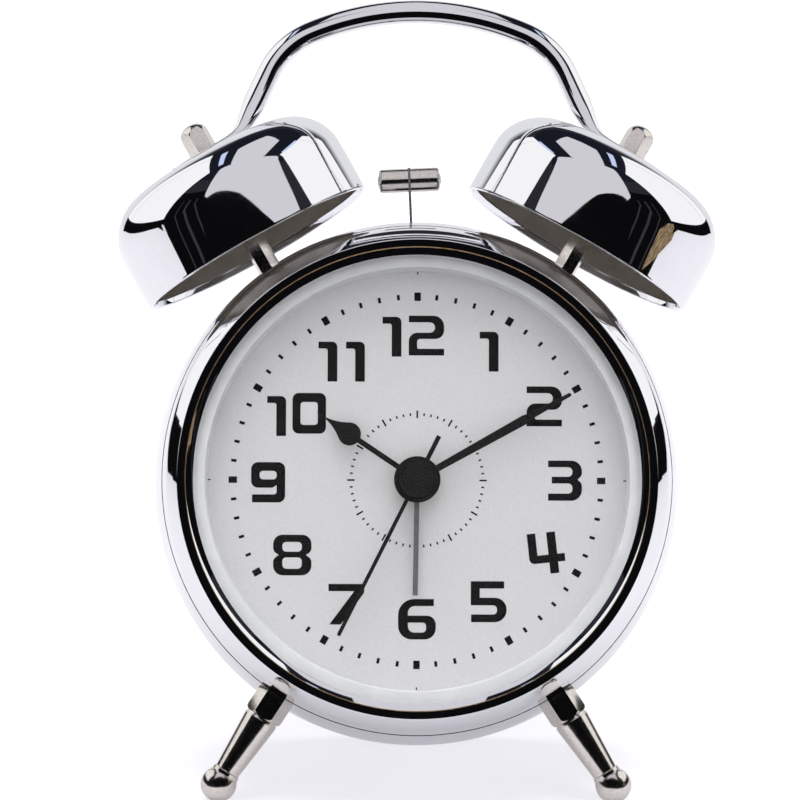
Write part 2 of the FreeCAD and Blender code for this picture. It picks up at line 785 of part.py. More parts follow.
def four_arcs(middle, across, over, radius):
    """A circle in four arcs, whose ends match the corners of a rectangle."""
    corners = [middle + (across * a + over * b) * (radius * math.sqrt(0.5))
               for a, b in ((1, 1), (-1, 1), (-1, -1), (1, -1))]
    middles = [middle + (across * a + over * b) * radius for a, b in ((0, 1), (-1, 0), (0, -1), (1, 0))]
    ends = corners[1:] + corners[:1]
    return Part.Wire([Part.Arc(a, m, b).toShape() for a, m, b in zip(corners, middles, ends)])


def post_seat():
    """Height on the bell's axis, from its mouth down, where the post meets the case."""
    away = math.radians(bell_place - bell_tilt)
    distance = case_middle_radius + bell_stand
    return math.sqrt(case_middle_radius ** 2 - (distance * math.sin(away)) ** 2) - distance * math.cos(away)


def lock_nuts(place, seat, turn):
    """Nuts inside the case, right and left, whose outer faces follow its inner wall."""
    bottom = seat - lock_nut_height - sheet
    nut = place(hexagon(nut_flats, bottom, seat, turn)).common(case_filled(sheet))
    nut = nut.cut(place(upright_rod(stud_radius, bottom, seat)))
    return Part.makeCompound(both_sides(nut))


# ---- legs
def leg():
    """Turned leg: hexagon collar seated on the case, cone, neck ring and ball."""
    case_radius = case_wall_radius(leg_depth)
    inside = ring_foot_radius + fit_gap
    collar_end = case_radius + leg_collar_length
    neck_start = ball_distance - math.sqrt(ball_radius ** 2 - leg_neck_radius ** 2) - leg_neck_length
    corner_radius = leg_flats / math.sqrt(3)
    round_start = (corner_radius, collar_end - leg_collar_round)
    round_end = (leg_collar_end_radius, collar_end)
    lathe = about_up((0, inside), (corner_radius, inside), round_start,
                     rounded(round_start, (corner_radius, collar_end), round_end), (0, collar_end))
    collar = hexagon(leg_flats, inside, collar_end).common(lathe)
    cone = about_up((0, inside), (stud_radius, inside), (leg_collar_end_radius, collar_end),
                    (leg_cone_top_radius, collar_end + leg_cone_lead), (leg_cone_end_radius, neck_start),
                    (leg_neck_radius, neck_start + leg_neck_round), (leg_neck_radius, ball_distance),
                    (0, ball_distance))
    ball = Part.makeSphere(ball_radius, Vector(0, 0, ball_distance))
    stud = upright_rod(stud_radius, inside, case_radius)
    return join(on_leg_axis(join(collar, cone, ball)).cut(case_filled(0)), on_leg_axis(stud))


# ---- striker
def leaned(shape):
    """Lean a striker piece from upright to its rest on the left."""
    moved = shape.copy()
    moved.rotate(Vector(0, case_middle_depth, pivot_z), Vector(0, 1, 0), -rest_lean)
    return moved


def strip_blank(top):
    """The strip's section from its seat in the lever up to a height."""
    return block(-strip_thickness / 2, strip_thickness / 2, case_middle_depth - strip_depth / 2,
                 case_middle_depth + strip_depth / 2, pivot_z + strip_seat, top)


def striker_lever():
    """Moulded lever: bored hub, head that grips the strip and the tail that the cam works on."""
    head_top = pivot_z + lever_block_top
    boss = rod(lever_hub_radius, lever_front, lever_back, 0, pivot_z)
    head = block(-lever_block_width / 2, lever_block_width / 2, lever_front, lever_back, pivot_z, head_top)
    tail = block(-tail_width / 2, tail_width / 2, lever_back - tail_depth, lever_back,
                 pivot_z - tail_length, pivot_z)
    bore = rod(pin_radius + running_gap, 0, case_back_depth, 0, pivot_z)
    return leaned(join(boss, head, tail).cut([strip_blank(head_top), bore]))


def striker_strip():
    strip = strip_blank(pivot_z + hammer_arm + hammer_radius)
    hole = cross_rod(rivet_radius, -strip_thickness, strip_thickness, case_middle_depth, pivot_z + hammer_arm)
    return leaned(strip.cut(hole))


def on_hammer_axis(shape, side):
    """Turn an upright shape to lie along the hammer, at the top of the strip."""
    moved = shape.copy()
    moved.rotate(Vector(), Vector(0, 1, 0), 90 * side)
    moved.translate(Vector(0, case_middle_depth, pivot_z + hammer_arm))
    return leaned(moved)


def hammer_half(side):
    """Short cylinder with a rounded outer edge, bored for the rivet."""
    flat = strip_thickness / 2
    end = flat + hammer_half_length
    edge = (hammer_radius, end - hammer_edge)
    form = about_up((rivet_radius, flat), (hammer_radius, flat), edge,
                    rounded(edge, (hammer_radius, end), (hammer_radius - hammer_edge, end)),
                    (rivet_radius, end))
    return on_hammer_axis(form, side)


def hammer_rivet():
    reach = strip_thickness / 2 + hammer_half_length
    end = reach + rivet_head
    flat = rivet_head_radius - rivet_chamfer
    form = about_up((0, -end), (flat, -end), (rivet_head_radius, -reach), (rivet_radius, -reach),
                    (rivet_radius, reach), (rivet_head_radius, reach), (flat, end), (0, end))
    return on_hammer_axis(form, 1)


def striker_frame():
    """Bracket on top of the movement: a base, a side web and two ears that hold the pin."""
    front_ear = lever_front - fit_gap - ear_thickness
    back_ear = lever_back + fit_gap
    web_left = -ear_half_width - frame_wall - frame_side_room
    top = pivot_z + ear_half_width
    base = block(web_left, ear_half_width, movement_back_depth - frame_foot, movement_back_depth,
                 movement_top, movement_top + frame_wall)
    lever_space = block(-ear_half_width, knob_spacing, front_ear + ear_thickness, case_back_depth,
                        movement_bottom, pivot_z)
    ears = [block(web_left, ear_half_width, front, front + ear_thickness, movement_top, top)
            for front in (front_ear, back_ear)]
    web = block(web_left, web_left + frame_wall, front_ear, back_ear + ear_thickness, movement_top, top)
    return join(base.cut(lever_space), web, *ears).cut(rod(pin_radius, 0, case_back_depth, 0, pivot_z))


def striker_pin():
    reach = lever_depth / 2 + fit_gap + ear_thickness + seat_gap
    return rod(pin_radius, case_middle_depth - reach, case_middle_depth + reach, 0, pivot_z)


def striker_motor():
    front = case_back_depth - motor_length
    return join(rod(motor_radius, front, case_back_depth, motor_x, motor_z),
                rod(motor_boss_radius, front - motor_boss, front, motor_x, motor_z))


def striker_cam():
    """Off-centre disc and the motor's shaft, which turns with it."""
    front = lever_back - tail_depth
    disc = rod(cam_radius, front, lever_back, motor_x + cam_offset, motor_z)
    shaft = rod(shaft_radius, front, case_back_depth - motor_length - motor_boss, motor_x, motor_z)
    return join(disc, shaft)


# ---- back cover and what it carries
def back_cover():
    """Moulded cover with spigot, battery tray, motor cradle, switch slot and the standing heel."""
    cover = rod(cover_radius, case_back_depth, cover_back_depth)
    cover = cover.makeFillet(cover_edge, rim_edges(cover, cover_back_depth))
    spigot_front = case_back_depth - spigot_height
    spigot = rod(spigot_radius, spigot_front, case_back_depth)
    spigot = spigot.cut([rod(spigot_radius - spigot_wall, spigot_front, case_back_depth),
                         *four_rods(pillar_radius + fit_gap, spigot_front, case_back_depth)])
    cradle = rod(motor_radius + cradle_wall, case_back_depth - cradle_length, case_back_depth,
                 motor_x, motor_z)
    solid = join(cover, spigot, cradle, battery_tray(), heel())
    motor_space = rod(motor_radius, 0, case_back_depth, motor_x, motor_z)
    stem_hole = rod(stem_radius + fit_gap, spigot_front, heel_depth, knob_x, knob_z)
    holes = [battery_bay(), door_seat(), door_pin_bore(), switch_slot(), motor_space, *both_sides(stem_hole),
             *four_rods(screw_radius + seat_gap, 0, heel_depth),
             *four_rods(screw_head_radius + seat_gap, cover_back_depth - screw_head, heel_depth)]
    return solid.cut(holes)


def battery_tray():
    reach = tray_half_length + tray_wall
    return block(-reach, reach, battery_depth - battery_radius - tray_wall, case_back_depth,
                 door_bottom - tray_wall, door_top + tray_wall)


def battery_bay():
    return block(-tray_half_length, tray_half_length, battery_depth - battery_radius, heel_depth,
                 door_bottom + door_ledge, door_top - door_ledge)


def door_seat():
    """Recess that the battery door closes into, flush with the cover."""
    reach = door_half + fit_gap
    return block(-reach, reach, case_back_depth, heel_depth, door_bottom - fit_gap, door_top + fit_gap)


def door_pin_bore():
    reach = door_half + door_pin_length + fit_gap
    return cross_rod(door_pin_radius + running_gap, -reach, reach, door_pin_depth, door_pin_z)


def switch_slot():
    half_width = switch_stem / 2 + fit_gap
    half_height = (switch_travel + switch_stem) / 2 + fit_gap
    return block(switch_x - half_width, switch_x + half_width, case_back_depth - fit_gap, heel_depth,
                 switch_z - half_height, switch_z + half_height)


def heel():
    """Foot below the cover, cut off along the surface that the clock stands on."""
    slope = math.tan(lean)
    root = cover_back_depth - heel_root
    front = heel_depth - heel_length / 2
    back = heel_depth + heel_length / 2
    top = heel_height - heel_drop
    corners = ((root, top + heel_edge), (back - heel_edge, top), (back, top - heel_edge),
               (back, (back - heel_depth) * slope - heel_drop),
               (front, (front - heel_depth) * slope - heel_drop),
               (root, cover_edge - cover_radius))
    profile = outline(*[(-heel_width / 2, depth, z) for depth, z in corners])
    return profile.extrude(Vector(heel_width, 0, 0))


def cover_screws():
    """Four screws with sunk heads, each in the bore of a pillar."""
    seat = cover_back_depth - screw_head
    heads = four_rods(screw_head_radius, seat, cover_back_depth - seat_gap)
    shanks = four_rods(screw_radius, case_back_depth - screw_length, seat)
    return Part.makeCompound([join(head, shank) for head, shank in zip(heads, shanks)])


def battery():
    """Size AA cell with its contact nub to the right."""
    nub_end = tray_half_length - contact_thickness
    can_end = nub_end - battery_nub
    return join(cross_rod(battery_radius, can_end - battery_length, can_end, battery_depth, battery_z),
                cross_rod(battery_nub_radius, can_end, nub_end, battery_depth, battery_z))


def battery_contact_plate():
    return block(tray_half_length - contact_thickness, tray_half_length, battery_depth - contact_half_width,
                 battery_depth + contact_half_width, battery_z - contact_half_width,
                 battery_z + contact_half_width)


def battery_contact_spring():
    """Bowed leaf between the tray's end and the flat end of the battery."""
    wall = -tray_half_length
    front = battery_depth - contact_half_width / 2
    low = battery_z - contact_half_width
    high = battery_z + contact_half_width
    bow = outline((wall, front, low), (wall + contact_thickness, front, low),
                  ((wall + spring_room, front, battery_z), (wall + contact_thickness, front, high)),
                  (wall, front, high),
                  ((wall + spring_room - contact_thickness, front, battery_z), (wall, front, low)))
    return bow.extrude(Vector(0, contact_half_width, 0))


def battery_door():
    """Door panel with a rounded lower edge that turns on two pins, and a finger ridge at its top."""
    pin_reach = door_half + door_pin_length
    ridge_top = door_top - ridge_inset
    panel = block(-door_half, door_half, case_back_depth, cover_back_depth, door_pin_z, door_top)
    edge = cross_rod(cover_thickness / 2, -door_half, door_half, door_pin_depth, door_pin_z)
    pins = cross_rod(door_pin_radius, -pin_reach, pin_reach, door_pin_depth, door_pin_z)
    ridge = block(-ridge_width / 2, ridge_width / 2, cover_back_depth, cover_back_depth + ridge_height,
                  ridge_top - ridge_thickness, ridge_top)
    return join(panel, edge, pins, ridge)


def alarm_switch_slider():
    """Knob outside, stem through the slot and flange inside, at the upper end of its travel."""
    z = switch_z + switch_travel / 2
    knob_front = cover_back_depth + fit_gap
    inner = case_back_depth - fit_gap
    knob = square_block(switch_knob, knob_front, knob_front + switch_knob_height, z)
    stem = square_block(switch_stem, inner - switch_sheet, knob_front, z)
    flange = square_block(switch_flange, inner - switch_sheet, inner, z)
    return join(knob, stem, flange)


def square_block(size, front, back, z):
    return block(switch_x - size / 2, switch_x + size / 2, front, back, z - size / 2, z + size / 2)


def alarm_switch_body():
    """Contact block under the slider, with two side walls up to the cover."""
    back = case_back_depth - fit_gap - switch_sheet - fit_gap
    left = switch_x - switch_body_half_width
    right = switch_x + switch_body_half_width
    low = switch_z - switch_body_half_height
    high = switch_z + switch_body_half_height
    base = block(left, right, back - switch_body_thickness, back, low, high)
    walls = [block(start, start + switch_wall, back, case_back_depth, low, high)
             for start in (left, right - switch_wall)]
    return join(base, *walls)


# ---- assembly
def stand(shape):
    """Lean the clock back about the heel's land, which becomes the origin."""
    placed = shape.copy()
    placed.translate(Vector(0, -heel_depth, heel_drop))
    placed.rotate(Vector(), Vector(1, 0, 0), -math.degrees(lean))
    return placed


def save(name, shape):
    stand(shape).exportStep("parts/" + name + ".step")


def save_pair(name, right, left):
    """Right-hand and left-hand piece, each in its own file."""
    save(name + "_right", right)
    save(name + "_left", left)


right_knob = setting_knob()
save("case_shell", case_shell())
save("bezel_ring", bezel_ring())
save("glass_lens", glass_lens())
save("dial_surround", dial_surround())
save("dial_plate", dial_plate())
save("dial_nut", dial_nut())
save("movement_housing", movement_housing())
save("second_arbor", arbor(second_arbor_radius, 0, second_plane, 0))
save("minute_tube", arbor(minute_tube_radius, second_arbor_radius + running_gap, minute_plane, 1))
save("hour_tube", arbor(hour_tube_radius, minute_tube_radius + running_gap, hour_plane, 2))
save("alarm_tube", arbor(alarm_tube_radius, hour_tube_radius + running_gap, alarm_plane, 3))
save("second_hand", second_hand())
save("minute_hand", minute_hand())
save("hour_hand", hour_hand())
save("alarm_hand", alarm_hand())
save("time_set_knob", mirrored(right_knob))
save("alarm_set_knob", right_knob)
save_pair("bell", *both_sides(bell()))
save_pair("bell_post", *both_sides(bell_post()))
save_pair("acorn_nut", *both_sides(acorn_nut()))
save("post_lock_nuts", lock_nuts(on_bell_axis, post_seat(), post_turn))
save("handle", handle())
save_pair("leg", *both_sides(leg()))
save("leg_lock_nuts", lock_nuts(on_leg_axis, case_wall_radius(leg_depth), 0))
save("striker_lever", striker_lever())
save("striker_strip", striker_strip())
save_pair("hammer", hammer_half(1), hammer_half(-1))
save("hammer_rivet", hammer_rivet())
save("striker_frame", striker_frame())
save("striker_pin", striker_pin())
save("striker_motor", striker_motor())
save("striker_cam", striker_cam())
save("back_cover", back_cover())
save("cover_screws", cover_screws())
save("battery", battery())
save("battery_contact_plate", battery_contact_plate())
save("battery_contact_spring", battery_contact_spring())
save("battery_door", battery_door())
save("alarm_switch_slider", alarm_switch_slider())
save("alarm_switch_body", alarm_switch_body())
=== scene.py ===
"""Twin-bell alarm clock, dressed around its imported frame.

New pieces are drawn in the clock's own frame, the printing in metres and the rest in millimetres:
X is to the right, Y is the dial axis and runs backwards from the bezel's lip, and Z is up along the
dial. Each is then moved into the frame in its mesh, so every object stays at the origin.
"""
import json
import math
import bmesh
import bpy
from mathutils import Matrix, Vector


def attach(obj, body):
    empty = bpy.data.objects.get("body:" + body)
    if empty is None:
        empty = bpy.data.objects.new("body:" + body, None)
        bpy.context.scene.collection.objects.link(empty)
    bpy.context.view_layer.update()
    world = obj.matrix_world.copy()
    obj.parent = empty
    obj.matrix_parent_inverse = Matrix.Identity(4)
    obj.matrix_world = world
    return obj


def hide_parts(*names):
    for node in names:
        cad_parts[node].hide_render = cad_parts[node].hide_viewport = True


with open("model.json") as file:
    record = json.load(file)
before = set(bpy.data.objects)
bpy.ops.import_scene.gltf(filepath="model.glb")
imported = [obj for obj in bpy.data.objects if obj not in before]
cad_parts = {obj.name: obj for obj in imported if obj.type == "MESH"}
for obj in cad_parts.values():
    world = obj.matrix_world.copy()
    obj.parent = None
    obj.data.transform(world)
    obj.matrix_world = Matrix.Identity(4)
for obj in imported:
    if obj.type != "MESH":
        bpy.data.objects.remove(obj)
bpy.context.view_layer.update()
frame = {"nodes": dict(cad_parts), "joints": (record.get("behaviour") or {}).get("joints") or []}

mm = 0.001
weld = 0.001                    # millimetres between vertices that are merged


# ---- the clock's own frame, from the frame's dial axis and bezel
def basis(x, y, z, origin):
    """Matrix with the given axes and origin."""
    turn = Matrix((x, y, z)).transposed().to_4x4()
    return Matrix.Translation(origin) @ turn


def extent(node, place):
    """Lowest and highest corner of a CAD node, measured in another frame."""
    inverse = place.inverted()
    points = [inverse @ vertex.co for vertex in frame["nodes"][node].data.vertices]
    low = Vector([min(point[axis] for point in points) for axis in range(3)])
    high = Vector([max(point[axis] for point in points) for axis in range(3)])
    return low, high


def clock_frame():
    """Place of the clock's own frame, with its origin on the bezel's lip."""
    dial_turn = next(joint for joint in frame["joints"] if joint["name"] == "second_hand_turn")
    across = Vector((1, 0, 0))
    inward = Vector(dial_turn["axis"]).normalized()
    upright = across.cross(inward)
    rough = basis(across, inward, upright, Vector(dial_turn["pos_m"]))
    lip = extent("bezel_ring", rough)[0].y
    return rough @ Matrix.Translation((0, lip, 0))


clock = clock_frame()


# ---- material helpers
noise_span = (0.3, 0.7)         # most of a noise's values lie between these


def colour(hex_code):
    """Linear RGBA from an sRGB hex code."""
    parts = [int(hex_code[start:start + 2], 16) / 255 for start in (1, 3, 5)]
    return [part / 12.92 if part <= 0.04045 else ((part + 0.055) / 1.055) ** 2.4 for part in parts] + [1]


def add_node(tree, kind, sockets=None, **settings):
    """A node with its settings; sockets gives each input a value or another node's output."""
    made = tree.nodes.new(kind)
    for name, value in settings.items():
        setattr(made, name, value)
    for name, value in (sockets or {}).items():
        if isinstance(value, bpy.types.NodeSocket):
            tree.links.new(value, made.inputs[name])
        else:
            made.inputs[name].default_value = value
    return made


def new_material(name, hex_code, metallic, roughness, **sockets):
    """Material with one principled shader, its surface set and nothing linked yet."""
    material = bpy.data.materials.new(name)
    material.use_nodes = True
    shader = material.node_tree.nodes["Principled BSDF"]
    values = {"Base Color": colour(hex_code), "Metallic": metallic, "Roughness": roughness, **sockets}
    for socket, value in values.items():
        shader.inputs[socket].default_value = value
    return material, material.node_tree, shader


def grain(tree, size, detail=2.0):
    """Noise whose blotches are about the given size across, in the piece's own coordinates."""
    place = add_node(tree, "ShaderNodeTexCoord").outputs["Object"]
    noise = add_node(tree, "ShaderNodeTexNoise", {"Vector": place, "Scale": 1 / size, "Detail": detail})
    return noise.outputs["Fac"]


def clouded(tree, shader, size, dark, light, detail=2.0, socket="Base Color"):
    """Colour that wanders between two, in blotches of about the given size."""
    ramp = add_node(tree, "ShaderNodeValToRGB", {"Fac": grain(tree, size, detail)})
    for stop, hex_code, position in zip(ramp.color_ramp.elements, (dark, light), noise_span):
        stop.color = colour(hex_code)
        stop.position = position
    tree.links.new(ramp.outputs["Color"], shader.inputs[socket])


def uneven(tree, shader, size, low, high, detail=2.0):
    """Roughness that wanders between two values, in blotches of about the given size."""
    sockets = {"Value": grain(tree, size, detail), "From Min": noise_span[0], "From Max": noise_span[1],
               "To Min": low, "To Max": high}
    spread = add_node(tree, "ShaderNodeMapRange", sockets)
    tree.links.new(spread.outputs["Result"], shader.inputs["Roughness"])


def relief(tree, shader, size, distance, strength, detail=2.0):
    """Fine unevenness of the surface, in blotches of about the given size."""
    sockets = {"Height": grain(tree, size, detail), "Distance": distance, "Strength": strength}
    tree.links.new(add_node(tree, "ShaderNodeBump", sockets).outputs["Normal"], shader.inputs["Normal"])


# ---- materials
def polished_chrome():
    """Bright chrome over polished nickel: a clear mirror, with faint wiping marks."""
    material, tree, shader = new_material("polished_chrome", "#f3f3f6", 1.0, 0.03)
    uneven(tree, shader, 14 * mm, 0.015, 0.06, 4.0)
    relief(tree, shader, 9 * mm, 0.02 * mm, 0.3, 1.0)
    return material


def satin_nickel():
    """Barrel-plated nickel on turned brass: a warm grey, softly blurred mirror."""
    # the barrel leaves marks of about 0.1 mm; they are drawn coarser, to show
    material, tree, shader = new_material("satin_nickel", "#e4ddd7", 1.0, 0.16)
    clouded(tree, shader, 0.5 * mm, "#ddd5cd", "#ebe6e1")
    uneven(tree, shader, 0.4 * mm, 0.11, 0.21, 3.0)
    relief(tree, shader, 0.35 * mm, 0.01 * mm, 0.25)
    return material


def bell_inside():
    """Unpolished nickel inside the bells: dull, brownish and slightly cloudy."""
    material, tree, shader = new_material("bell_inside", "#d6cfc6", 0.55, 0.42)
    clouded(tree, shader, 7 * mm, "#c9c1b7", "#e0dbd4", 4.0)
    uneven(tree, shader, 1.2 * mm, 0.32, 0.5)
    return material


def clear_glass():
    """Pressed and polished clock glass; it casts no shadow of its own on the dial."""
    sockets = {"Transmission Weight": 1.0, "IOR": 1.46}
    sockets["Specular Tint"] = colour("#5a5a5a")        # bloomed, so that the dial reads clearly
    material, tree, shader = new_material("clear_glass", "#ffffff", 0.0, 0.0, **sockets)
    shadow = add_node(tree, "ShaderNodeLightPath").outputs["Is Shadow Ray"]
    clear = add_node(tree, "ShaderNodeBsdfTransparent").outputs["BSDF"]
    mixed = add_node(tree, "ShaderNodeMixShader", {0: shadow, 1: shader.outputs["BSDF"], 2: clear})
    tree.links.new(mixed.outputs["Shader"], tree.nodes["Material Output"].inputs["Surface"])
    return material


def pale_ring():
    """Moulded pale grey plastic with a fine spark-eroded finish."""
    # the mould's pits are about 0.1 mm apart; they are drawn coarser, to show
    material, tree, shader = new_material("pale_ring", "#e4e5e7", 0.0, 0.42)
    clouded(tree, shader, 6 * mm, "#dfe0e2", "#e9eaec")
    relief(tree, shader, 0.3 * mm, 0.01 * mm, 0.5)
    return material


def silver_dial():
    """Vapour-blasted aluminium under matt lacquer: an even silver with a very fine grain."""
    # the blast leaves pits of about 0.05 mm; they are drawn coarser, to show
    material, tree, shader = new_material("silver_dial", "#d6d6d8", 0.25, 0.5)
    clouded(tree, shader, 0.25 * mm, "#cfcfd1", "#dddddf", 3.0)
    relief(tree, shader, 0.2 * mm, 0.008 * mm, 0.6)
    return material


def lacquer(name, dark, light, roughness):
    """Stoved lacquer on thin brass: even, with a low sheen."""
    material, tree, shader = new_material(name, light, 0.0, roughness, **{"Specular IOR Level": 0.15})
    clouded(tree, shader, 1.5 * mm, dark, light, 3.0)
    uneven(tree, shader, 0.6 * mm, roughness * 0.8, roughness * 1.2)
    return material


def dial_ink():
    """Pad-printed black ink, matt and slightly mottled."""
    material, tree, shader = new_material("dial_ink", "#0d0d0e", 0.0, 0.55, **{"Specular IOR Level": 0.1})
    clouded(tree, shader, 0.5 * mm, "#0a0a0a", "#151516", 3.0)
    return material


def black_abs():
    """Moulded black ABS with a spark-eroded texture."""
    # the mould's pits are about 0.15 mm apart; they are drawn coarser, to show
    material, tree, shader = new_material("black_abs", "#18181a", 0.0, 0.45)
    clouded(tree, shader, 2 * mm, "#151517", "#1d1d20", 4.0)
    relief(tree, shader, 0.45 * mm, 0.02 * mm, 0.7, 3.0)
    return material


def plated(name, dark, light, roughness):
    """Small drawn or turned metal piece with a soft, slightly uneven shine."""
    # the marks of drawing and turning are about 0.1 mm wide; they are drawn coarser, to show
    material, tree, shader = new_material(name, light, 1.0, roughness)
    clouded(tree, shader, 2 * mm, dark, light, 3.0)
    uneven(tree, shader, 0.4 * mm, roughness * 0.7, roughness * 1.3)
    return material


def battery_sleeve():
    """Shrunk plastic sleeve of a battery: dark grey and glossy."""
    material, tree, shader = new_material("battery_sleeve", "#2b2d33", 0.0, 0.25)
    clouded(tree, shader, 5 * mm, "#282a30", "#30333a")
    return material


finishes = {
    "chrome": polished_chrome(),
    "satin_nickel": satin_nickel(),
    "bell_nickel": bell_inside(),
    "clear_glass": clear_glass(),
    "pale_ring": pale_ring(),
    "silver_dial": silver_dial(),
    "black_lacquer": lacquer("black_lacquer", "#0b0b0c", "#121213", 0.32),
    "grey_lacquer": lacquer("grey_lacquer", "#636365", "#707072", 0.4),
    "brass": plated("brass", "#b8974f", "#cdb06a", 0.28),
    "black_abs": black_abs(),
    "zinc_plate": plated("zinc_plate", "#aab0b8", "#c6ccd2", 0.34),
    "spring_steel": plated("spring_steel", "#9b9da1", "#b4b6ba", 0.26),
    "battery_sleeve": battery_sleeve(),
    "dial_ink": dial_ink(),
    # painted highlight: a warm tan metal laid along the bezel's crease, standing in for the light that the
    # crease catches
    "painted_crease_highlight": plated("painted_crease_highlight", "#b59368", "#d8bd98", 0.45),
}


# ---- where the turned pieces stand, in millimetres
middle_depth = 27.0             # of the bells, the handle and the hammer, behind the bezel's lip
bell_side = 33.69               # middle of a bell's mouth
bell_up = 49.77
bell_tilt = 29.5                # degrees from upright, outwards
leg_depth = 11.5
leg_angle = 147.0               # degrees from upright
striker_pivot_up = 28.0
striker_lean = 2.6              # degrees to the left, at rest
hammer_arm = 36.7

drawn = clock @ Matrix.Scale(mm, 4)                               # new pieces are drawn in millimetres
on_dial = drawn @ Matrix.Rotation(math.radians(90), 4, "X")       # upright points out of the dial


def leaned(side, across, depth, up, degrees):
    """Place on the clock, with its own upright axis leaned outwards on that side."""
    return (drawn @ Matrix.Translation((side * across, depth, up))
            @ Matrix.Rotation(math.radians(side * degrees), 4, "Y"))


def on_bell(side, height=0.0):
    """The bell's own axis, from a height above its mouth."""
    return leaned(side, bell_side, middle_depth, bell_up, bell_tilt) @ Matrix.Translation((0, 0, height))


def on_hammer(side):
    """The hammer's own axis, from the strip outwards."""
    pivot = leaned(1, 0, middle_depth, striker_pivot_up, -striker_lean)
    return pivot @ Matrix.Translation((0, 0, hammer_arm)) @ Matrix.Rotation(math.radians(90 * side), 4, "Y")


# ---- mesh helpers
smooth_below = 30.0             # degrees between faces that are shaded as one surface
crisp_below = 20.0              # the same, on pieces with narrow facets and broken edges
arc_step = 4.0                  # degrees between the points of a rounded corner
least_steps = 3
flat_below = 0.5                # degrees between faces of a CAD mesh that are one flat face


def finish_piece(name, mesh, slot, body, *nodes, smooth=smooth_below):
    """Object from a mesh that is already in place, riding on its body in its finish."""
    piece = bpy.data.objects.new(name, mesh)
    bpy.context.scene.collection.objects.link(piece)
    mesh.shade_smooth()
    mesh.set_sharp_from_angle(angle=math.radians(smooth))
    if not mesh.materials:
        mesh.materials.append(finishes[slot])
    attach(piece, body)
    if nodes:
        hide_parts(*nodes)
    return piece


def to_mesh(name, form, place):
    """Mesh of a bmesh that is moved into its place, with its faces pointing outwards."""
    bmesh.ops.transform(form, matrix=place, verts=form.verts)
    bmesh.ops.recalc_face_normals(form, faces=form.faces)
    mesh = bpy.data.meshes.new(name)
    form.to_mesh(mesh)
    form.free()
    return mesh


def turned(wall, steps=160):
    """Form turned about the upright axis from the corners of its wall: radius, height, rounding.

    A wall that starts on the axis is a solid's, and any other closes on itself.
    """
    form = bmesh.new()
    corners = [Vector((radius, 0, height)) for radius, height, _ in wall]
    points = [form.verts.new(corner) for corner in corners]
    ends = points[1:] + points[:1] if wall[0][0] > 0 else points[1:]
    for start, end in zip(points, ends):
        form.edges.new((start, end))
    for index, (_, _, rounding) in enumerate(wall):
        if rounding == 0:
            continue
        before = corners[index] - corners[index - 1]
        after = corners[(index + 1) % len(corners)] - corners[index]
        turn = before.angle(after)
        segments = max(least_steps, math.ceil(math.degrees(turn) / arc_step))
        bmesh.ops.bevel(form, geom=[points[index]], affect="VERTICES", offset=rounding * math.tan(turn / 2),
                        offset_type="OFFSET", segments=segments, profile=0.5, material=-1)
    bmesh.ops.spin(form, geom=form.verts[:] + form.edges[:], axis=(0, 0, 1), cent=(0, 0, 0),
                   angle=math.radians(360), steps=steps, use_merge=True)
    bmesh.ops.remove_doubles(form, verts=form.verts, dist=weld)
    bmesh.ops.recalc_face_normals(form, faces=form.faces)
    return form


def six_flats(form, across, turn=0.0):
    """Cut the six flats of a nut across a turned form."""
    for index in range(6):
        flat = Matrix.Rotation(math.radians(turn + 30 + 60 * index), 3, "Z") @ Vector((1, 0, 0))
        cut = bmesh.ops.bisect_plane(form, geom=form.verts[:] + form.edges[:] + form.faces[:],
                                     plane_co=flat * (across / 2), plane_no=flat, clear_outer=True)
        rim = [item for item in cut["geom_cut"] if isinstance(item, bmesh.types.BMEdge)]
        bmesh.ops.contextual_create(form, geom=rim)


def break_edges(form, radius, degrees=25.0, segments=3):
    """Round every edge that is sharper than an angle."""
    sharp = [edge for edge in form.edges if len(edge.link_faces) == 2
             and edge.calc_face_angle() > math.radians(degrees)]
    bmesh.ops.bevel(form, geom=sharp, affect="EDGES", offset=radius, segments=segments, profile=0.5,
                    material=-1, clamp_overlap=True)


def softened(name, node, slot, body, radius):
    """A CAD node's form with its sharp edges broken to a small radius."""
    form = bmesh.new()
    form.from_mesh(frame["nodes"][node].data)
    bmesh.ops.remove_doubles(form, verts=form.verts, dist=weld * mm)
    bmesh.ops.dissolve_limit(form, angle_limit=math.radians(flat_below), verts=form.verts, edges=form.edges)
    break_edges(form, radius, degrees=30.0, segments=2)
    return finish_piece(name, to_mesh(name, form, Matrix.Identity(4)), slot, body, node, smooth=crisp_below)


# ---- dial printing
track_radius = 38.2 * mm
hour_block = (1.35 * mm, 1.75 * mm)
minute_tick = (0.6 * mm, 1.15 * mm)
ring_radius = 13.7 * mm
ring_mark = (0.35 * mm, 1.55 * mm)
ring_dot = (0.33 * mm, 0.6 * mm)
nick_radius = 43.1 * mm
edge_nick = (0.25 * mm, 0.6 * mm)
ink_thickness = 0.02 * mm
grid = 0.1 * mm                 # numerals are drawn in tenths of a millimetre
corner_steps = 6

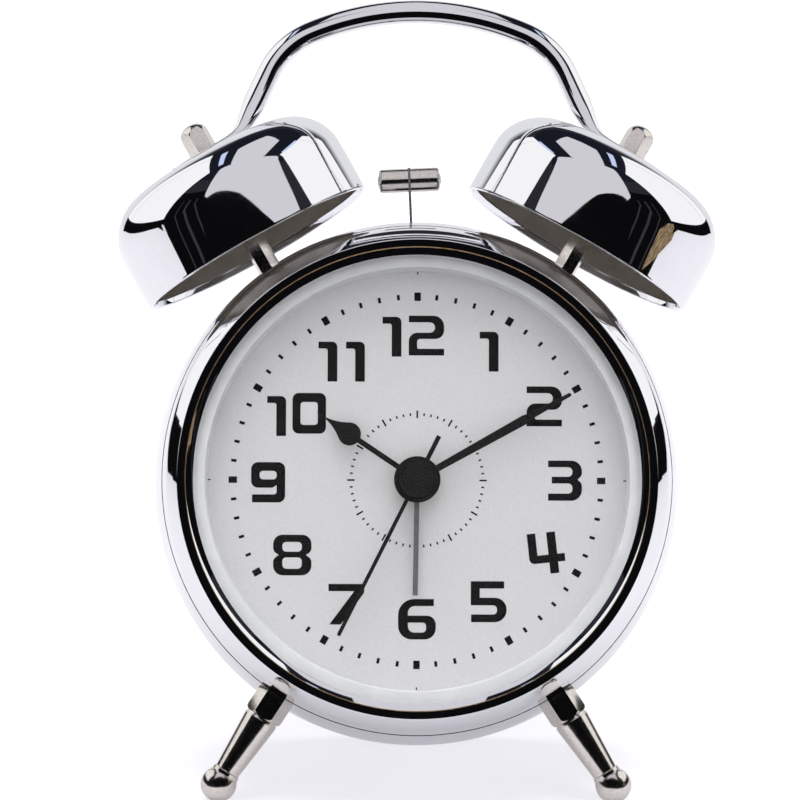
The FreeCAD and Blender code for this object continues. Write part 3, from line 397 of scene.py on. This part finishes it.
# each contour is a list of corners: x, height and the radius that rounds it
numerals = {
    "0": [[(0, 84.6, 13), (69.6, 84.6, 13), (69.6, 0, 13), (0, 0, 13)],
          [(16.7, 65.7, 6.5), (52.4, 65.7, 6.5), (52.4, 18.1, 6.5), (16.7, 18.1, 6.5)]],
    "1": [[(0, 83, 0), (39.3, 83, 11), (39.3, 0, 0), (19.1, 0, 0), (19.1, 68.7, 5), (0, 68.7, 0)]],
    "2": [[(0, 83, 0), (73.5, 83, 22), (73.5, 34.5, 18), (17.5, 34.5, 6), (17.5, 14, 3), (73.5, 14, 0),
           (73.5, 0, 0), (0, 0, 0), (0, 47.5, 18), (54.5, 47.5, 10.7), (54.5, 69, 10.7), (0, 69, 0)]],
    "3": [[(0, 83.4, 0), (70.3, 83.4, 22), (70.3, 52.5, 14), (61.5, 43.8, 0), (70.3, 35.5, 14),
           (70.3, 0, 22), (0, 0, 0), (0, 14.8, 0), (50.5, 14.8, 9), (50.5, 35.8, 9), (7.6, 35.8, 0),
           (7.6, 49.8, 0), (50.5, 49.8, 9), (50.5, 69.6, 9), (0, 69.6, 0)]],
    "4": [[(0, 86, 0), (17.8, 86, 0), (17.8, 39.7, 0), (40.6, 39.7, 0), (40.6, 86, 0), (59, 86, 0),
           (59, 39.7, 0), (74.3, 39.7, 0), (74.3, 23, 0), (59, 23, 0), (59, 0, 0), (40.6, 0, 0),
           (40.6, 23, 0), (0, 23, 11)]],
    "5": [[(0, 84.7, 0), (69, 84.7, 0), (69, 69.7, 0), (18.6, 69.7, 0), (18.6, 50.7, 0),
           (74.3, 50.7, 24), (74.3, 0, 25), (0.7, 0, 0), (0.7, 16, 0), (54.3, 16, 8), (54.3, 35, 8),
           (0, 35, 0)]],
    "6": [[(74, 83.6, 0), (74, 69, 0), (20.4, 69, 14), (20.4, 49.3, 0), (78.2, 49.3, 18.6),
           (78.2, 0, 23), (0, 0, 28), (0, 83.6, 33)],
          [(20.4, 34.7, 0), (57.9, 34.7, 7), (57.9, 14.3, 8), (20.4, 14.3, 13)]],
    "7": [[(0, 84, 0), (74, 84, 0), (74, 66, 0), (25.7, 0, 0), (1.8, 0, 0), (53.2, 69, 0), (0, 69, 0)]],
    "8": [[(0, 84.2, 19), (79.4, 84.2, 19), (79.4, 50, 13), (68, 42.3, 0), (79.4, 34, 13), (79.4, 0, 20),
           (0, 0, 20), (0, 34, 13), (11.4, 42.3, 0), (0, 50, 13)],
          [(19.1, 69.2, 8), (59.4, 69.2, 8), (59.4, 49.2, 8), (19.1, 49.2, 8)],
          [(19.1, 37.2, 8), (59.4, 37.2, 8), (59.4, 13.7, 9), (19.1, 13.7, 9)]],
    "9": [[(0, 83.6, 14.3), (70.7, 83.6, 14.3), (70.7, 0, 14.3), (2, 0, 0), (2, 16.7, 0), (52.9, 16.7, 6),
           (52.9, 36, 0), (44, 30.5, 5), (0, 30.5, 14.3)],
          [(17.6, 65.5, 7), (52.9, 65.5, 7), (52.9, 47.9, 7), (17.6, 47.9, 7)]],
}

# each numeral's lower left corner from the middle of the dial, and its turn in degrees
numeral_places = [
    ("1", -72.6, 256.9, 0), ("2", -18.1, 259.6, 0), ("1", 129.3, 226.6, 0), ("2", 227, 113.1, 0),
    ("3", 271.8, -41.3, 0), ("4", 236.8, -196.8, 6.3), ("5", 112, -293.4, 0), ("6", -38.4, -329.5, 0),
    ("7", -182.6, -299.2, 0), ("8", -297.6, -198, 0), ("9", -344, -47.1, 0), ("1", -311.5, 90.9, 0),
    ("0", -259, 96.1, 0), ("1", -205.6, 204.6, 0), ("1", -148.4, 204.6, 0),
]


def rounded_corner(before, corner, after, radius):
    """Points of the arc that rounds a corner of an outline."""
    here = Vector(corner)
    to_before = (Vector(before) - here).normalized()
    to_after = (Vector(after) - here).normalized()
    if radius == 0:
        return [here]
    half = to_before.angle(to_after) / 2
    middle = here + (to_before + to_after).normalized() * (radius / math.sin(half))
    start = here + to_before * (radius / math.tan(half)) - middle
    sweep = start.angle_signed(here + to_after * (radius / math.tan(half)) - middle)
    shares = [step / corner_steps for step in range(corner_steps + 1)]
    return [middle + Matrix.Rotation(-sweep * share, 2) @ start for share in shares]


def draw_contour(curve, corners, place):
    """Closed flat spline through a contour's rounded corners."""
    points = []
    for index, (x, height, radius) in enumerate(corners):
        before = corners[index - 1][:2]
        after = corners[(index + 1) % len(corners)][:2]
        points += rounded_corner(before, (x, height), after, radius)
    spline = curve.splines.new("POLY")
    spline.points.add(len(points) - 1)
    spline.use_cyclic_u = True
    for target, point in zip(spline.points, points):
        target.co = (place @ Vector((point.x, point.y, 0))).to_4d()


def draw_mark(curve, radius, size, degrees):
    """Oblong printed mark on a circle round the dial's middle."""
    width, length = size
    corners = [(a * width / 2, radius + b * length / 2, 0) for a, b in ((-1, -1), (-1, 1), (1, 1), (1, -1))]
    draw_contour(curve, corners, Matrix.Rotation(math.radians(-degrees), 4, "Z"))


def dial_printing():
    """Numerals, minute track and alarm ring, as one thin layer of ink on the dial."""
    curve = bpy.data.curves.new("dial_printing", "CURVE")
    curve.dimensions = "2D"
    curve.fill_mode = "BOTH"
    curve.extrude = ink_thickness / 2
    for digit, x, height, degrees in numeral_places:
        place = (Matrix.Scale(grid, 4) @ Matrix.Translation((x, height, 0))
                 @ Matrix.Rotation(math.radians(degrees), 4, "Z"))
        for corners in numerals[digit]:
            draw_contour(curve, corners, place)
    for minute in range(60):
        on_hour = minute % 5 == 0
        draw_mark(curve, track_radius, hour_block if on_hour else minute_tick, 6 * minute)
        draw_mark(curve, ring_radius, ring_mark if on_hour else ring_dot, 6 * minute)
        if minute % 15 == 0:
            draw_mark(curve, nick_radius, edge_nick, 6 * minute)
    holder = bpy.data.objects.new("dial_printing_curve", curve)
    mesh = bpy.data.meshes.new_from_object(holder)
    ink_middle = extent("dial_plate", clock)[0].y - ink_thickness / 2
    flat = Matrix.Translation((0, ink_middle, 0)) @ Matrix.Rotation(math.radians(90), 4, "X")
    mesh.transform(clock @ flat)
    bpy.data.objects.remove(holder)
    bpy.data.curves.remove(curve)
    mesh.materials.clear()
    mesh.materials.append(finishes["dial_ink"])
    return finish_piece("dial_printing", mesh, "black_lacquer", "clock")


dial_printing()


# ---- carried-over nodes take the finish that the record gives them
for node in frame["nodes"].values():
    slot_name = node.data.materials[0].name.split(".")[0]
    node.data.materials[0] = finishes[slot_name]

# ---- hands, with their stamped edges broken
softened("minute_pointer", "minute_hand", "black_lacquer", "minute_hand", 0.08 * mm)
softened("hour_pointer", "hour_hand", "black_lacquer", "hour_hand", 0.08 * mm)
softened("second_pointer", "second_hand", "black_lacquer", "second_hand", 0.08 * mm)
softened("alarm_pointer", "alarm_hand", "grey_lacquer", "alarm_hand", 0.08 * mm)

# ---- moulded pieces at the back, with the small radii of their mould
softened("moulded_back", "back_cover", "black_abs", "clock", 0.4 * mm)
softened("moulded_door", "battery_door", "black_abs", "battery_door", 0.2 * mm)
softened("time_knob", "time_set_knob", "black_abs", "time_set_knob", 0.12 * mm)
softened("alarm_knob", "alarm_set_knob", "black_abs", "alarm_set_knob", 0.12 * mm)
softened("switch_thumb", "alarm_switch_slider", "black_abs", "alarm_switch", 0.15 * mm)


# ---- bezel: two facets that fall to the glass, a narrow crease between them, lip, step and shoulder
bezel_wall = [
    (46.1, -1.4, 0.15), (47.62, -0.55, 0), (47.72, -0.44, 0), (47.84, -0.46, 0), (49.0, -0.04, 0.5),
    (49.35, -0.04, 0.25), (50.3, -1.4, 0.3), (51.75, -3.6, 4.0), (52.7, -6.6, 0), (52.7, -7.4, 0),
    (52.0, -7.4, 0), (52.0, -6.6, 0), (49.0, -0.7, 0), (47.6, -1.25, 0), (46.1, -2.1, 0),
]
crease_radii = (47.62, 47.85)
crease_low = -0.6               # the ring's hidden underside lies lower than this


def bezel():
    """Pressed and chromed ring; along the crease a warm tan is painted on as the crease's highlight."""
    form = turned(bezel_wall, steps=288)
    for face in form.faces:
        middle = face.calc_center_median()
        on_crease = crease_radii[0] < middle.xy.length < crease_radii[1] and middle.z > crease_low
        # faces on the crease take the painted highlight
        face.material_index = int(on_crease)
    mesh = to_mesh("bezel", form, on_dial)
    mesh.materials.append(finishes["chrome"])
    mesh.materials.append(finishes["painted_crease_highlight"])
    return finish_piece("bezel", mesh, "chrome", "clock", "bezel_ring", smooth=crisp_below)


bezel()

# ---- bells: drafted skirt, round shoulder and low crown
bell_wall = [
    (0, 22.5, 0), (8.2, 22.5, 199.5), (25.95, 21.03, 10.1), (26.365, 8.0, 180), (26.215, 0, 0.55),
    (25.35, 0, 0.6), (24.85, 1.5, 0.9), (25.5, 3.6, 0), (24.95, 20.1, 8.9), (8.6, 21.5, 197), (0, 21.5, 0),
]
bright_lip = 2.0                # the polish runs this far up the inside


def bell(name, node, side):
    """Spun bell, polished and chromed outside and left as plated inside."""
    form = turned(bell_wall, steps=224)
    for face in form.faces:
        middle = face.calc_center_median()
        face.material_index = int(face.normal.dot(middle) < 0 and middle.z > bright_lip)
    mesh = to_mesh(name, form, on_bell(side))
    mesh.materials.append(finishes["chrome"])
    mesh.materials.append(finishes["bell_nickel"])
    return finish_piece(name, mesh, "bell_nickel", "clock", node)


bell("left_bell", "bell_left", -1)
bell("right_bell", "bell_right", 1)

# ---- acorn nuts on the bells' studs, over the handle's flat ends
nut_seat = 23.8
nut_flats = 5.5
nut_turn = 12.0                 # degrees, as tightened
nut_wall = [(0, 0, 0), (3.17, 0, 0), (3.17, 6.5, 2.75), (0, 6.5, 0)]


def acorn_nut(name, node, side):
    """Domed nut, turned on each side as far as it was tightened."""
    form = turned(nut_wall, steps=96)
    six_flats(form, nut_flats, -side * nut_turn)
    break_edges(form, radius=0.16)
    return finish_piece(name, to_mesh(name, form, on_bell(side, nut_seat)), "satin_nickel", "clock", node)


acorn_nut("left_acorn", "acorn_nut_left", -1)
acorn_nut("right_acorn", "acorn_nut_right", 1)

# ---- hexagon posts under the bells, with the stud that runs through case, bell and nut
post_flats = 4.5
post_turn = 18.0
post_wall = [(0, -6.2, 0), (2.6, -6.2, 0), (2.6, 21.44, 0), (0, 21.44, 0)]
stud_wall = [(0, -10, 0), (1.5, -10, 0.3), (1.5, 27.8, 0.3), (0, 27.8, 0)]


def added(form, other):
    """Put another form into this one."""
    mesh = bpy.data.meshes.new("other")
    other.to_mesh(mesh)
    other.free()
    form.from_mesh(mesh)
    bpy.data.meshes.remove(mesh)


def bell_post(name, node, side):
    """Hexagon spacer with its stud."""
    form = turned(post_wall, steps=48)
    six_flats(form, post_flats, side * post_turn)
    break_edges(form, radius=0.14)
    added(form, turned(stud_wall, steps=32))
    return finish_piece(name, to_mesh(name, form, on_bell(side)), "satin_nickel", "clock", node)


bell_post("left_post", "bell_post_left", -1)
bell_post("right_post", "bell_post_right", 1)

# ---- legs: hexagon collar, cone, neck and ball, turned in one piece
collar_flats = 7.0
collar_wall = [(0, 51.8, 0), (4.04, 51.8, 0), (4.04, 58.66, 0.95), (0, 58.66, 0)]
ball_wall = [
    (0, 58.0, 0), (3.4, 58.0, 0), (3.4, 58.66, 0), (3.7, 59.26, 0.3), (2.65, 71.79, 0), (2.95, 72.0, 0.1),
    (2.95, 72.69, 0), (3.74, 73.709, 3.73), (3.74, 78.74, 3.73), (0, 78.74, 0),
]


def leg(name, node, side):
    """Leg leaned out from the dial axis, with its collar's flats to the front and back."""
    form = turned(collar_wall, steps=96)
    six_flats(form, collar_flats)
    break_edges(form, radius=0.2)
    added(form, turned(ball_wall, steps=96))
    place = leaned(side, 0, leg_depth, 0, leg_angle)
    return finish_piece(name, to_mesh(name, form, place), "satin_nickel", "clock", node)


leg("left_foot", "leg_left", -1)
leg("right_foot", "leg_right", 1)

# ---- hammer: a short turned cylinder on each side of the strip
hammer_wall = [(0, 0.25, 0), (2.55, 0.25, 0), (2.55, 6.45, 0.7), (0, 6.45, 0)]


def hammer_half(name, node, side):
    """Half of the hammer, outwards from the strip."""
    mesh = to_mesh(name, turned(hammer_wall, steps=96), on_hammer(side))
    return finish_piece(name, mesh, "satin_nickel", "striker", node)


hammer_half("left_hammer", "hammer_left", -1)
hammer_half("right_hammer", "hammer_right", 1)

# ---- handle: round bar in three bends, pressed flat at each end, where the stud runs through it
bar_radius = 2.48
arc_gap = 0.01                  # left flat between the four arcs of the round section
hoop_up = 42.65                 # middle of the top bend
hoop_radius = 58.2
hoop_half = 23.0                # degrees each side of the top
shoulder_middle = (15.94, 80.21)
shoulder_turn = 42.0
bend_steps = 28
section_steps = 12              # in each rounded corner of the bar's section
bar_end = [                     # across, up, degrees of travel from upright, width, thickness, rounding
    (34.606, 81.353, 155.0, 5.0, 5.0, 2.49), (35.55, 79.3, 155.0, 5.5, 4.4, 2.0),
    (36.5, 77.2, 153.0, 6.1, 3.6, 1.6), (37.45, 75.4, 147.0, 6.7, 2.8, 1.25),
    (38.7, 74.0, 133.0, 7.2, 1.95, 0.85), (40.216, 72.9, 123.0, 7.6, 1.4, 0.5),
    (48.66, 67.90, 119.5, 7.6, 1.3, 0.45), (50.31, 66.97, 119.5, 6.58, 1.3, 0.45),
    (51.53, 66.28, 119.5, 3.8, 1.3, 0.45), (51.92, 66.05, 119.5, 1.6, 1.2, 0.4),
]


def bar_section(form, across, up, degrees, width, thickness, rounding):
    """Rounded oblong across the bar; returns its edges."""
    before = set(form.edges)
    place = Matrix.Translation((across, middle_depth, up)) @ Matrix.Rotation(math.radians(degrees), 4, "Y")
    corners = [form.verts.new(place @ Vector((a * thickness / 2, b * width / 2, 0)))
               for a, b in ((1, 1), (-1, 1), (-1, -1), (1, -1))]
    for start, end in zip(corners, corners[1:] + corners[:1]):
        form.edges.new((start, end))
    bmesh.ops.bevel(form, geom=corners, affect="VERTICES", offset=rounding, offset_type="OFFSET",
                    segments=section_steps, profile=0.5, material=-1)
    return [edge for edge in form.edges if edge not in before]


def bend(form, edges, across, up, degrees, steps):
    """Sweep a section about a point of the clock's middle plane; returns the last section's edges."""
    points = list({vertex for edge in edges for vertex in edge.verts})
    spun = bmesh.ops.spin(form, geom=points + edges, axis=(0, 1, 0), cent=(across, middle_depth, up),
                          angle=math.radians(degrees), steps=steps)
    return [item for item in spun["geom_last"] if isinstance(item, bmesh.types.BMEdge)]


def handle():
    """Right half of the bar from the top bend to the flat end, then mirrored."""
    form = bmesh.new()
    bar = 2 * bar_radius
    top = bar_section(form, 0, hoop_up + hoop_radius, 90, bar, bar, bar_radius - arc_gap)
    section = bend(form, top, 0, hoop_up, hoop_half, bend_steps)
    section = bend(form, section, *shoulder_middle, shoulder_turn, bend_steps)
    for station in bar_end:
        following = bar_section(form, *station)
        bmesh.ops.bridge_loops(form, edges=section + following)
        section = following
    bmesh.ops.contextual_create(form, geom=section)
    bmesh.ops.mirror(form, geom=form.verts[:] + form.edges[:] + form.faces[:], matrix=Matrix.Identity(4),
                     merge_dist=weld, axis="X")
    bmesh.ops.remove_doubles(form, verts=form.verts, dist=weld)
    mesh = to_mesh("carrying_handle", form, drawn)
    return finish_piece("carrying_handle", mesh, "chrome", "clock", "handle")


handle()


# ---- floor, light and camera
floor_half = 4.0
paper_glow = 0.7                # the paper's own light for the camera
mirrored_glow = 0.5             # and the share of it that the metal sees
room_radius = 0.9               # dark walls and backdrop, seen by the metal alone
front_table_reach = 0.1         # the pale table ends here towards the camera
side_table_reach = 0.7
floor_end = 1.0
above_floor = 1 * mm
wall_step = 4                   # degrees between the corners of a wall
backdrop_fade = (0.704, 0.816)  # shares of the room's radius behind the clock, from grey to white

# bearings from the front, and heights seen from the bells' middle, in degrees
table_corner = 67
front_end = 125
beside_end = 140
wall_foot = -14
dark_top = 30
dusk_top = 46
backdrop_top = 38
ceiling_top = 89

# cards, in millimetres from the bells' middle: places, widths and heights
sheet_spot = (0, -120, 128.5)
sheet_lean = 31.9
sheet_size = (228, 168)
sheet_corner = 14.0
arch_spot = (0, -252, -2)       # from the sheet's middle, along the sheet
arch_radius = 199
overhead_spot = (0, -10, 550)
overhead_half = (185, 310)
side_reach = 300
side_depth = 94
side_up = 218
side_size = (432, 456)
frame_up = -35
frame_height = 50
seam_depth = 193
seam_width = 2.5
card_gap = 1                    # frames and seams hang this far before their screen
window_spot = (122, 12, 215)
window_size = (17, 115)
stands = ((38, 9), (47, 16), (55, 7))                             # bearing and width
stand_reach = 450
stand_up = 20
stand_height = 260
rough_spot = (290, -140, -52)
rough_bearing = 70
rough_size = (75, 44)

air_light = 0.22                # even light on the clock, apart from what is seen or mirrored
lamp_target = (0, 0, 0.07)
lamps = [                       # name, place, width, height and watts
    ("top_lamp", (0, 0.2, 1.15), 0.9, 1.3, 17.0), ("left_lamp", (-0.9, -0.7, 0.7), 0.7, 0.7, 0.6),
    ("right_lamp", (0.9, -0.7, 0.7), 0.7, 0.7, 1.0),
]

bells_middle = drawn @ Vector((0, middle_depth, 60))
beside_bells = Matrix.Translation(bells_middle) @ Matrix.Scale(mm, 4)    # cards are placed in millimetres


def staged(name, form, material):
    """Piece of the studio, not of the clock."""
    mesh = bpy.data.meshes.new(name)
    form.to_mesh(mesh)
    form.free()
    mesh.materials.append(material)
    piece = bpy.data.objects.new(name, mesh)
    bpy.context.scene.collection.objects.link(piece)
    return piece


def only_mirrored(piece):
    """Shown in reflections alone, so that it neither hides nor shades the clock."""
    piece.visible_camera = False
    piece.visible_diffuse = False
    piece.visible_shadow = False
    piece.visible_transmission = False
    return piece


def floor_paper():
    """Pale paper that also glows for the camera, and less for the metal: white where no shadow falls."""
    material, tree, shader = new_material("floor_paper", "#bebec2", 0.0, 0.9)
    clouded(tree, shader, 40 * mm, "#bcbcc0", "#c0c0c4")
    rays = add_node(tree, "ShaderNodeLightPath").outputs
    mirrored = add_node(tree, "ShaderNodeMath", {0: rays["Is Glossy Ray"], 1: mirrored_glow},
                        operation="MULTIPLY").outputs["Value"]
    seen = add_node(tree, "ShaderNodeMath", {0: rays["Is Camera Ray"], 1: mirrored},
                    operation="MAXIMUM").outputs["Value"]
    glow = add_node(tree, "ShaderNodeMapRange", {"Value": seen, "To Min": 0.0, "To Max": paper_glow})
    shader.inputs["Emission Color"].default_value = colour("#fbf9ff")
    tree.links.new(glow.outputs["Result"], shader.inputs["Emission Strength"])
    return material


def screen_material(name, hex_code):
    """Evenly lit or dark screen that only the metal and glass mirror."""
    sockets = {"Specular IOR Level": 0.0, "Emission Color": colour(hex_code), "Emission Strength": 1.0}
    return new_material(name, "#000000", 0.0, 1.0, **sockets)


def mottled_screen(name, dark_hex, light_hex):
    """Rough, mottled card."""
    material, tree, shader = screen_material(name, light_hex)
    clouded(tree, shader, 5 * mm, dark_hex, light_hex, 5.0, "Emission Color")
    return material


def fading_screen(name, side_hex, back_hex):
    """Screen behind the clock, darker at its sides than straight behind."""
    material, tree, shader = screen_material(name, back_hex)
    place = add_node(tree, "ShaderNodeTexCoord").outputs["Object"]
    depth = add_node(tree, "ShaderNodeSeparateXYZ", {"Vector": place}).outputs["Y"]
    grey_end, white_start = (room_radius * share for share in backdrop_fade)
    sockets = {"Value": depth, "From Min": grey_end, "From Max": white_start}
    shade = add_node(tree, "ShaderNodeMapRange", sockets).outputs["Result"]
    mixed = add_node(tree, "ShaderNodeMix", {0: shade, 6: colour(side_hex), 7: colour(back_hex)},
                     data_type="RGBA")
    tree.links.new(mixed.outputs[2], shader.inputs["Emission Color"])
    return material


def swept(form, axis, start, end):
    """Turn what is drawn to a bearing and sweep it on to another, in degrees, about an axis."""
    bmesh.ops.rotate(form, verts=form.verts, matrix=Matrix.Rotation(math.radians(start), 3, axis))
    steps = math.ceil(abs(end - start) / wall_step)
    bmesh.ops.spin(form, geom=form.verts[:] + form.edges[:], axis=[axis == "X", axis == "Y", axis == "Z"],
                   cent=(0, 0, 0), angle=math.radians(end - start), steps=steps,
                   use_merge=abs(end - start) == 360)


def screen(name, start, end, low, high, material):
    """Wall round the clock between two bearings, from the front to the right, and two heights."""
    form = bmesh.new()
    form.verts.new((0, -room_radius, 0))
    swept(form, "X", -low, -high)
    swept(form, "Z", start, end)
    bmesh.ops.translate(form, verts=form.verts, vec=bells_middle)
    return only_mirrored(staged(name, form, material))


def table_edge(name, inner, start, end, material):
    """Level strip of floor beyond the table, between two bearings."""
    form = bmesh.new()
    near = form.verts.new((0, -inner, above_floor))
    far = form.verts.new((0, -floor_end, above_floor))
    form.edges.new((near, far))
    swept(form, "Z", start, end)
    return only_mirrored(staged(name, form, material))


def facing(x, y, z, bearing, lean=0.0):
    """Place of a card: from the bells' middle, turned from the front, and leaned over the clock."""
    return (beside_bells @ Matrix.Translation((x, y, z)) @ Matrix.Rotation(math.radians(bearing), 4, "Z")
            @ Matrix.Rotation(math.radians(90 - lean), 4, "X"))


def card(name, place, width, height, material, corner=0.0):
    """Flat card in the studio, with rounded corners where given."""
    form = bmesh.new()
    bmesh.ops.create_grid(form, x_segments=1, y_segments=1, size=0.5,
                          matrix=Matrix.Diagonal((width, height, 1, 1)))
    if corner:
        bmesh.ops.bevel(form, geom=form.verts, affect="VERTICES", offset=corner, offset_type="OFFSET",
                        segments=8, profile=0.5, material=-1)
    bmesh.ops.transform(form, matrix=place, verts=form.verts)
    return only_mirrored(staged(name, form, material))


def round_card(name, place, sides, radius, material):
    """Flat card with equal sides round its middle."""
    form = bmesh.new()
    bmesh.ops.create_circle(form, cap_ends=True, segments=sides, radius=radius, matrix=place)
    return only_mirrored(staged(name, form, material))


def walls(dark):
    """Dark room in front and above, and a pale backdrop behind."""
    dusk = screen_material("dusk_wall", "#2a2a30")[0]
    ceiling = screen_material("dark_ceiling", "#191b25")[0]
    back = fading_screen("grey_backdrop", "#4c4e54", "#e6e7ea")
    table_edge("dark_before_table", front_table_reach, -table_corner, table_corner, dark)
    screen("dark_front", -front_end, front_end, wall_foot, dark_top, dark)
    screen("dusk_front", -front_end, front_end, dark_top, dusk_top, dusk)
    screen("dark_ceiling", -180, 180, dusk_top, ceiling_top, ceiling)
    screen("backdrop", front_end, 360 - front_end, wall_foot, backdrop_top, back)
    screen("dusk_back", front_end, 360 - front_end, backdrop_top, dusk_top, dusk)


def sheets(dark):
    """Pale sheet that leans over the clock, with an arch below it to look through, and one overhead."""
    pale = screen_material("pale_sheet", "#d6d5da")[0]
    sheet_place = facing(*sheet_spot, 0, sheet_lean)
    card("leaning_sheet", sheet_place, *sheet_size, pale, sheet_corner)
    round_card("arch_below_sheet", sheet_place @ Matrix.Translation(arch_spot), 96, arch_radius, dark)
    overhead = facing(*overhead_spot, 0, 90) @ Matrix.Diagonal((*overhead_half, 1, 1))
    round_card("overhead_sheet", overhead, 6, 1, pale)


def side_cards(word, side, dark, white, window, stand):
    """Tall screen beside the clock with its frame and seam, a window above and stands in front."""
    table_edge(word + "_dark_beside_table", side_table_reach, side * table_corner, side * beside_end, dark)
    near = side * (side_reach - card_gap)
    length, height = side_size
    card(word + "_side_frame", facing(near, side_depth, frame_up, 90), length, frame_height, dark)
    card(word + "_side_screen", facing(side * side_reach, side_depth, side_up, 90), length, height, white)
    card(word + "_seam", facing(near, seam_depth, side_up, 90), seam_width, height, dark)
    across, depth, up = window_spot
    card(word + "_window", facing(side * across, depth, up, 0, 90), *window_size, window)
    for bearing, width in stands:
        turned_out = beside_bells @ Matrix.Rotation(math.radians(side * bearing), 4, "Z")
        upright = Matrix.Rotation(math.radians(90), 4, "X")
        place = turned_out @ Matrix.Translation((0, -stand_reach, stand_up)) @ upright
        card(word + "_stand_%d" % bearing, place, width, stand_height, stand)


def studio():
    """Floor, and everything that the clock's metal mirrors."""
    form = bmesh.new()
    bmesh.ops.create_grid(form, x_segments=1, y_segments=1, size=floor_half)
    staged("floor", form, floor_paper())
    dark = screen_material("dark_room", "#0b0b0d")[0]
    white = screen_material("side_screen", "#ffffff")[0]
    window = screen_material("sky_window", "#cbd9fa")[0]
    stand = screen_material("grey_stand", "#38383b")[0]
    walls(dark)
    sheets(dark)
    side_cards("left", -1, dark, white, window, stand)
    side_cards("right", 1, dark, white, window, stand)
    card("rough_card", facing(*rough_spot, rough_bearing), *rough_size,
         mottled_screen("rough_card", "#2c241b", "#b79d7a"))


def soft_lamp(name, place, width, height, power):
    """Soft rectangular lamp aimed at the clock."""
    lamp = bpy.data.lights.new(name, "AREA")
    lamp.shape = "RECTANGLE"
    lamp.size = width
    lamp.size_y = height
    lamp.energy = power
    holder = bpy.data.objects.new(name, lamp)
    aim = (Vector(lamp_target) - Vector(place)).to_track_quat("-Z", "Y")
    holder.matrix_world = Matrix.Translation(place) @ aim.to_matrix().to_4x4()
    bpy.context.scene.collection.objects.link(holder)
    holder.visible_glossy = False
    return holder


def lighting():
    """Even air round the clock, seen at full white, and the lamps."""
    world = bpy.data.worlds.new("studio_air")
    bpy.context.scene.world = world
    world.use_nodes = True
    tree = world.node_tree
    rays = add_node(tree, "ShaderNodeLightPath").outputs
    seen = add_node(tree, "ShaderNodeMath", {0: rays["Is Camera Ray"], 1: rays["Is Glossy Ray"]},
                    operation="ADD", use_clamp=True).outputs["Value"]
    back = tree.nodes["Background"]
    back.inputs["Color"].default_value = colour("#ffffff")
    strength = add_node(tree, "ShaderNodeMapRange", {"Value": seen, "To Min": air_light, "To Max": 1.0})
    tree.links.new(strength.outputs["Result"], back.inputs["Strength"])
    for lamp in lamps:
        soft_lamp(*lamp)


# the view: measured on the frame's middle line through the dial
camera_distance = 812 * mm
camera_rise = 15.77             # degrees above level
camera_side = 0.4               # degrees to the left
camera_roll = 0.33              # degrees anticlockwise
view_width = 166.2 * mm         # what the frame takes in at the dial
aim_right = -3.63 * mm          # the frame's middle, from the middle of the dial
aim_up = 16.68 * mm
view_depth = 20


def camera():
    """Camera on its rise and side round the dial, aimed beside the dial's middle."""
    rise = math.radians(camera_rise)
    side = math.radians(camera_side)
    forward = Vector((math.sin(side) * math.cos(rise), math.cos(side) * math.cos(rise), -math.sin(rise)))
    right = forward.cross(Vector((0, 0, 1))).normalized()
    upward = right.cross(forward)
    dial_middle = clock @ Vector((0, extent("dial_plate", clock)[0].y, 0))
    target = dial_middle + right * aim_right + upward * aim_up
    lens = bpy.data.cameras.new("camera")
    lens.angle = 2 * math.atan(view_width / 2 / camera_distance)
    holder = bpy.data.objects.new("camera", lens)
    placed = basis(right, upward, -forward, target - forward * camera_distance)
    holder.matrix_world = placed @ Matrix.Rotation(math.radians(camera_roll), 4, "Z")
    bpy.context.scene.collection.objects.link(holder)
    bpy.context.scene.camera = holder
    lens.clip_end = view_depth


studio()
lighting()
camera()
bpy.context.scene.view_settings.view_transform = "Standard"
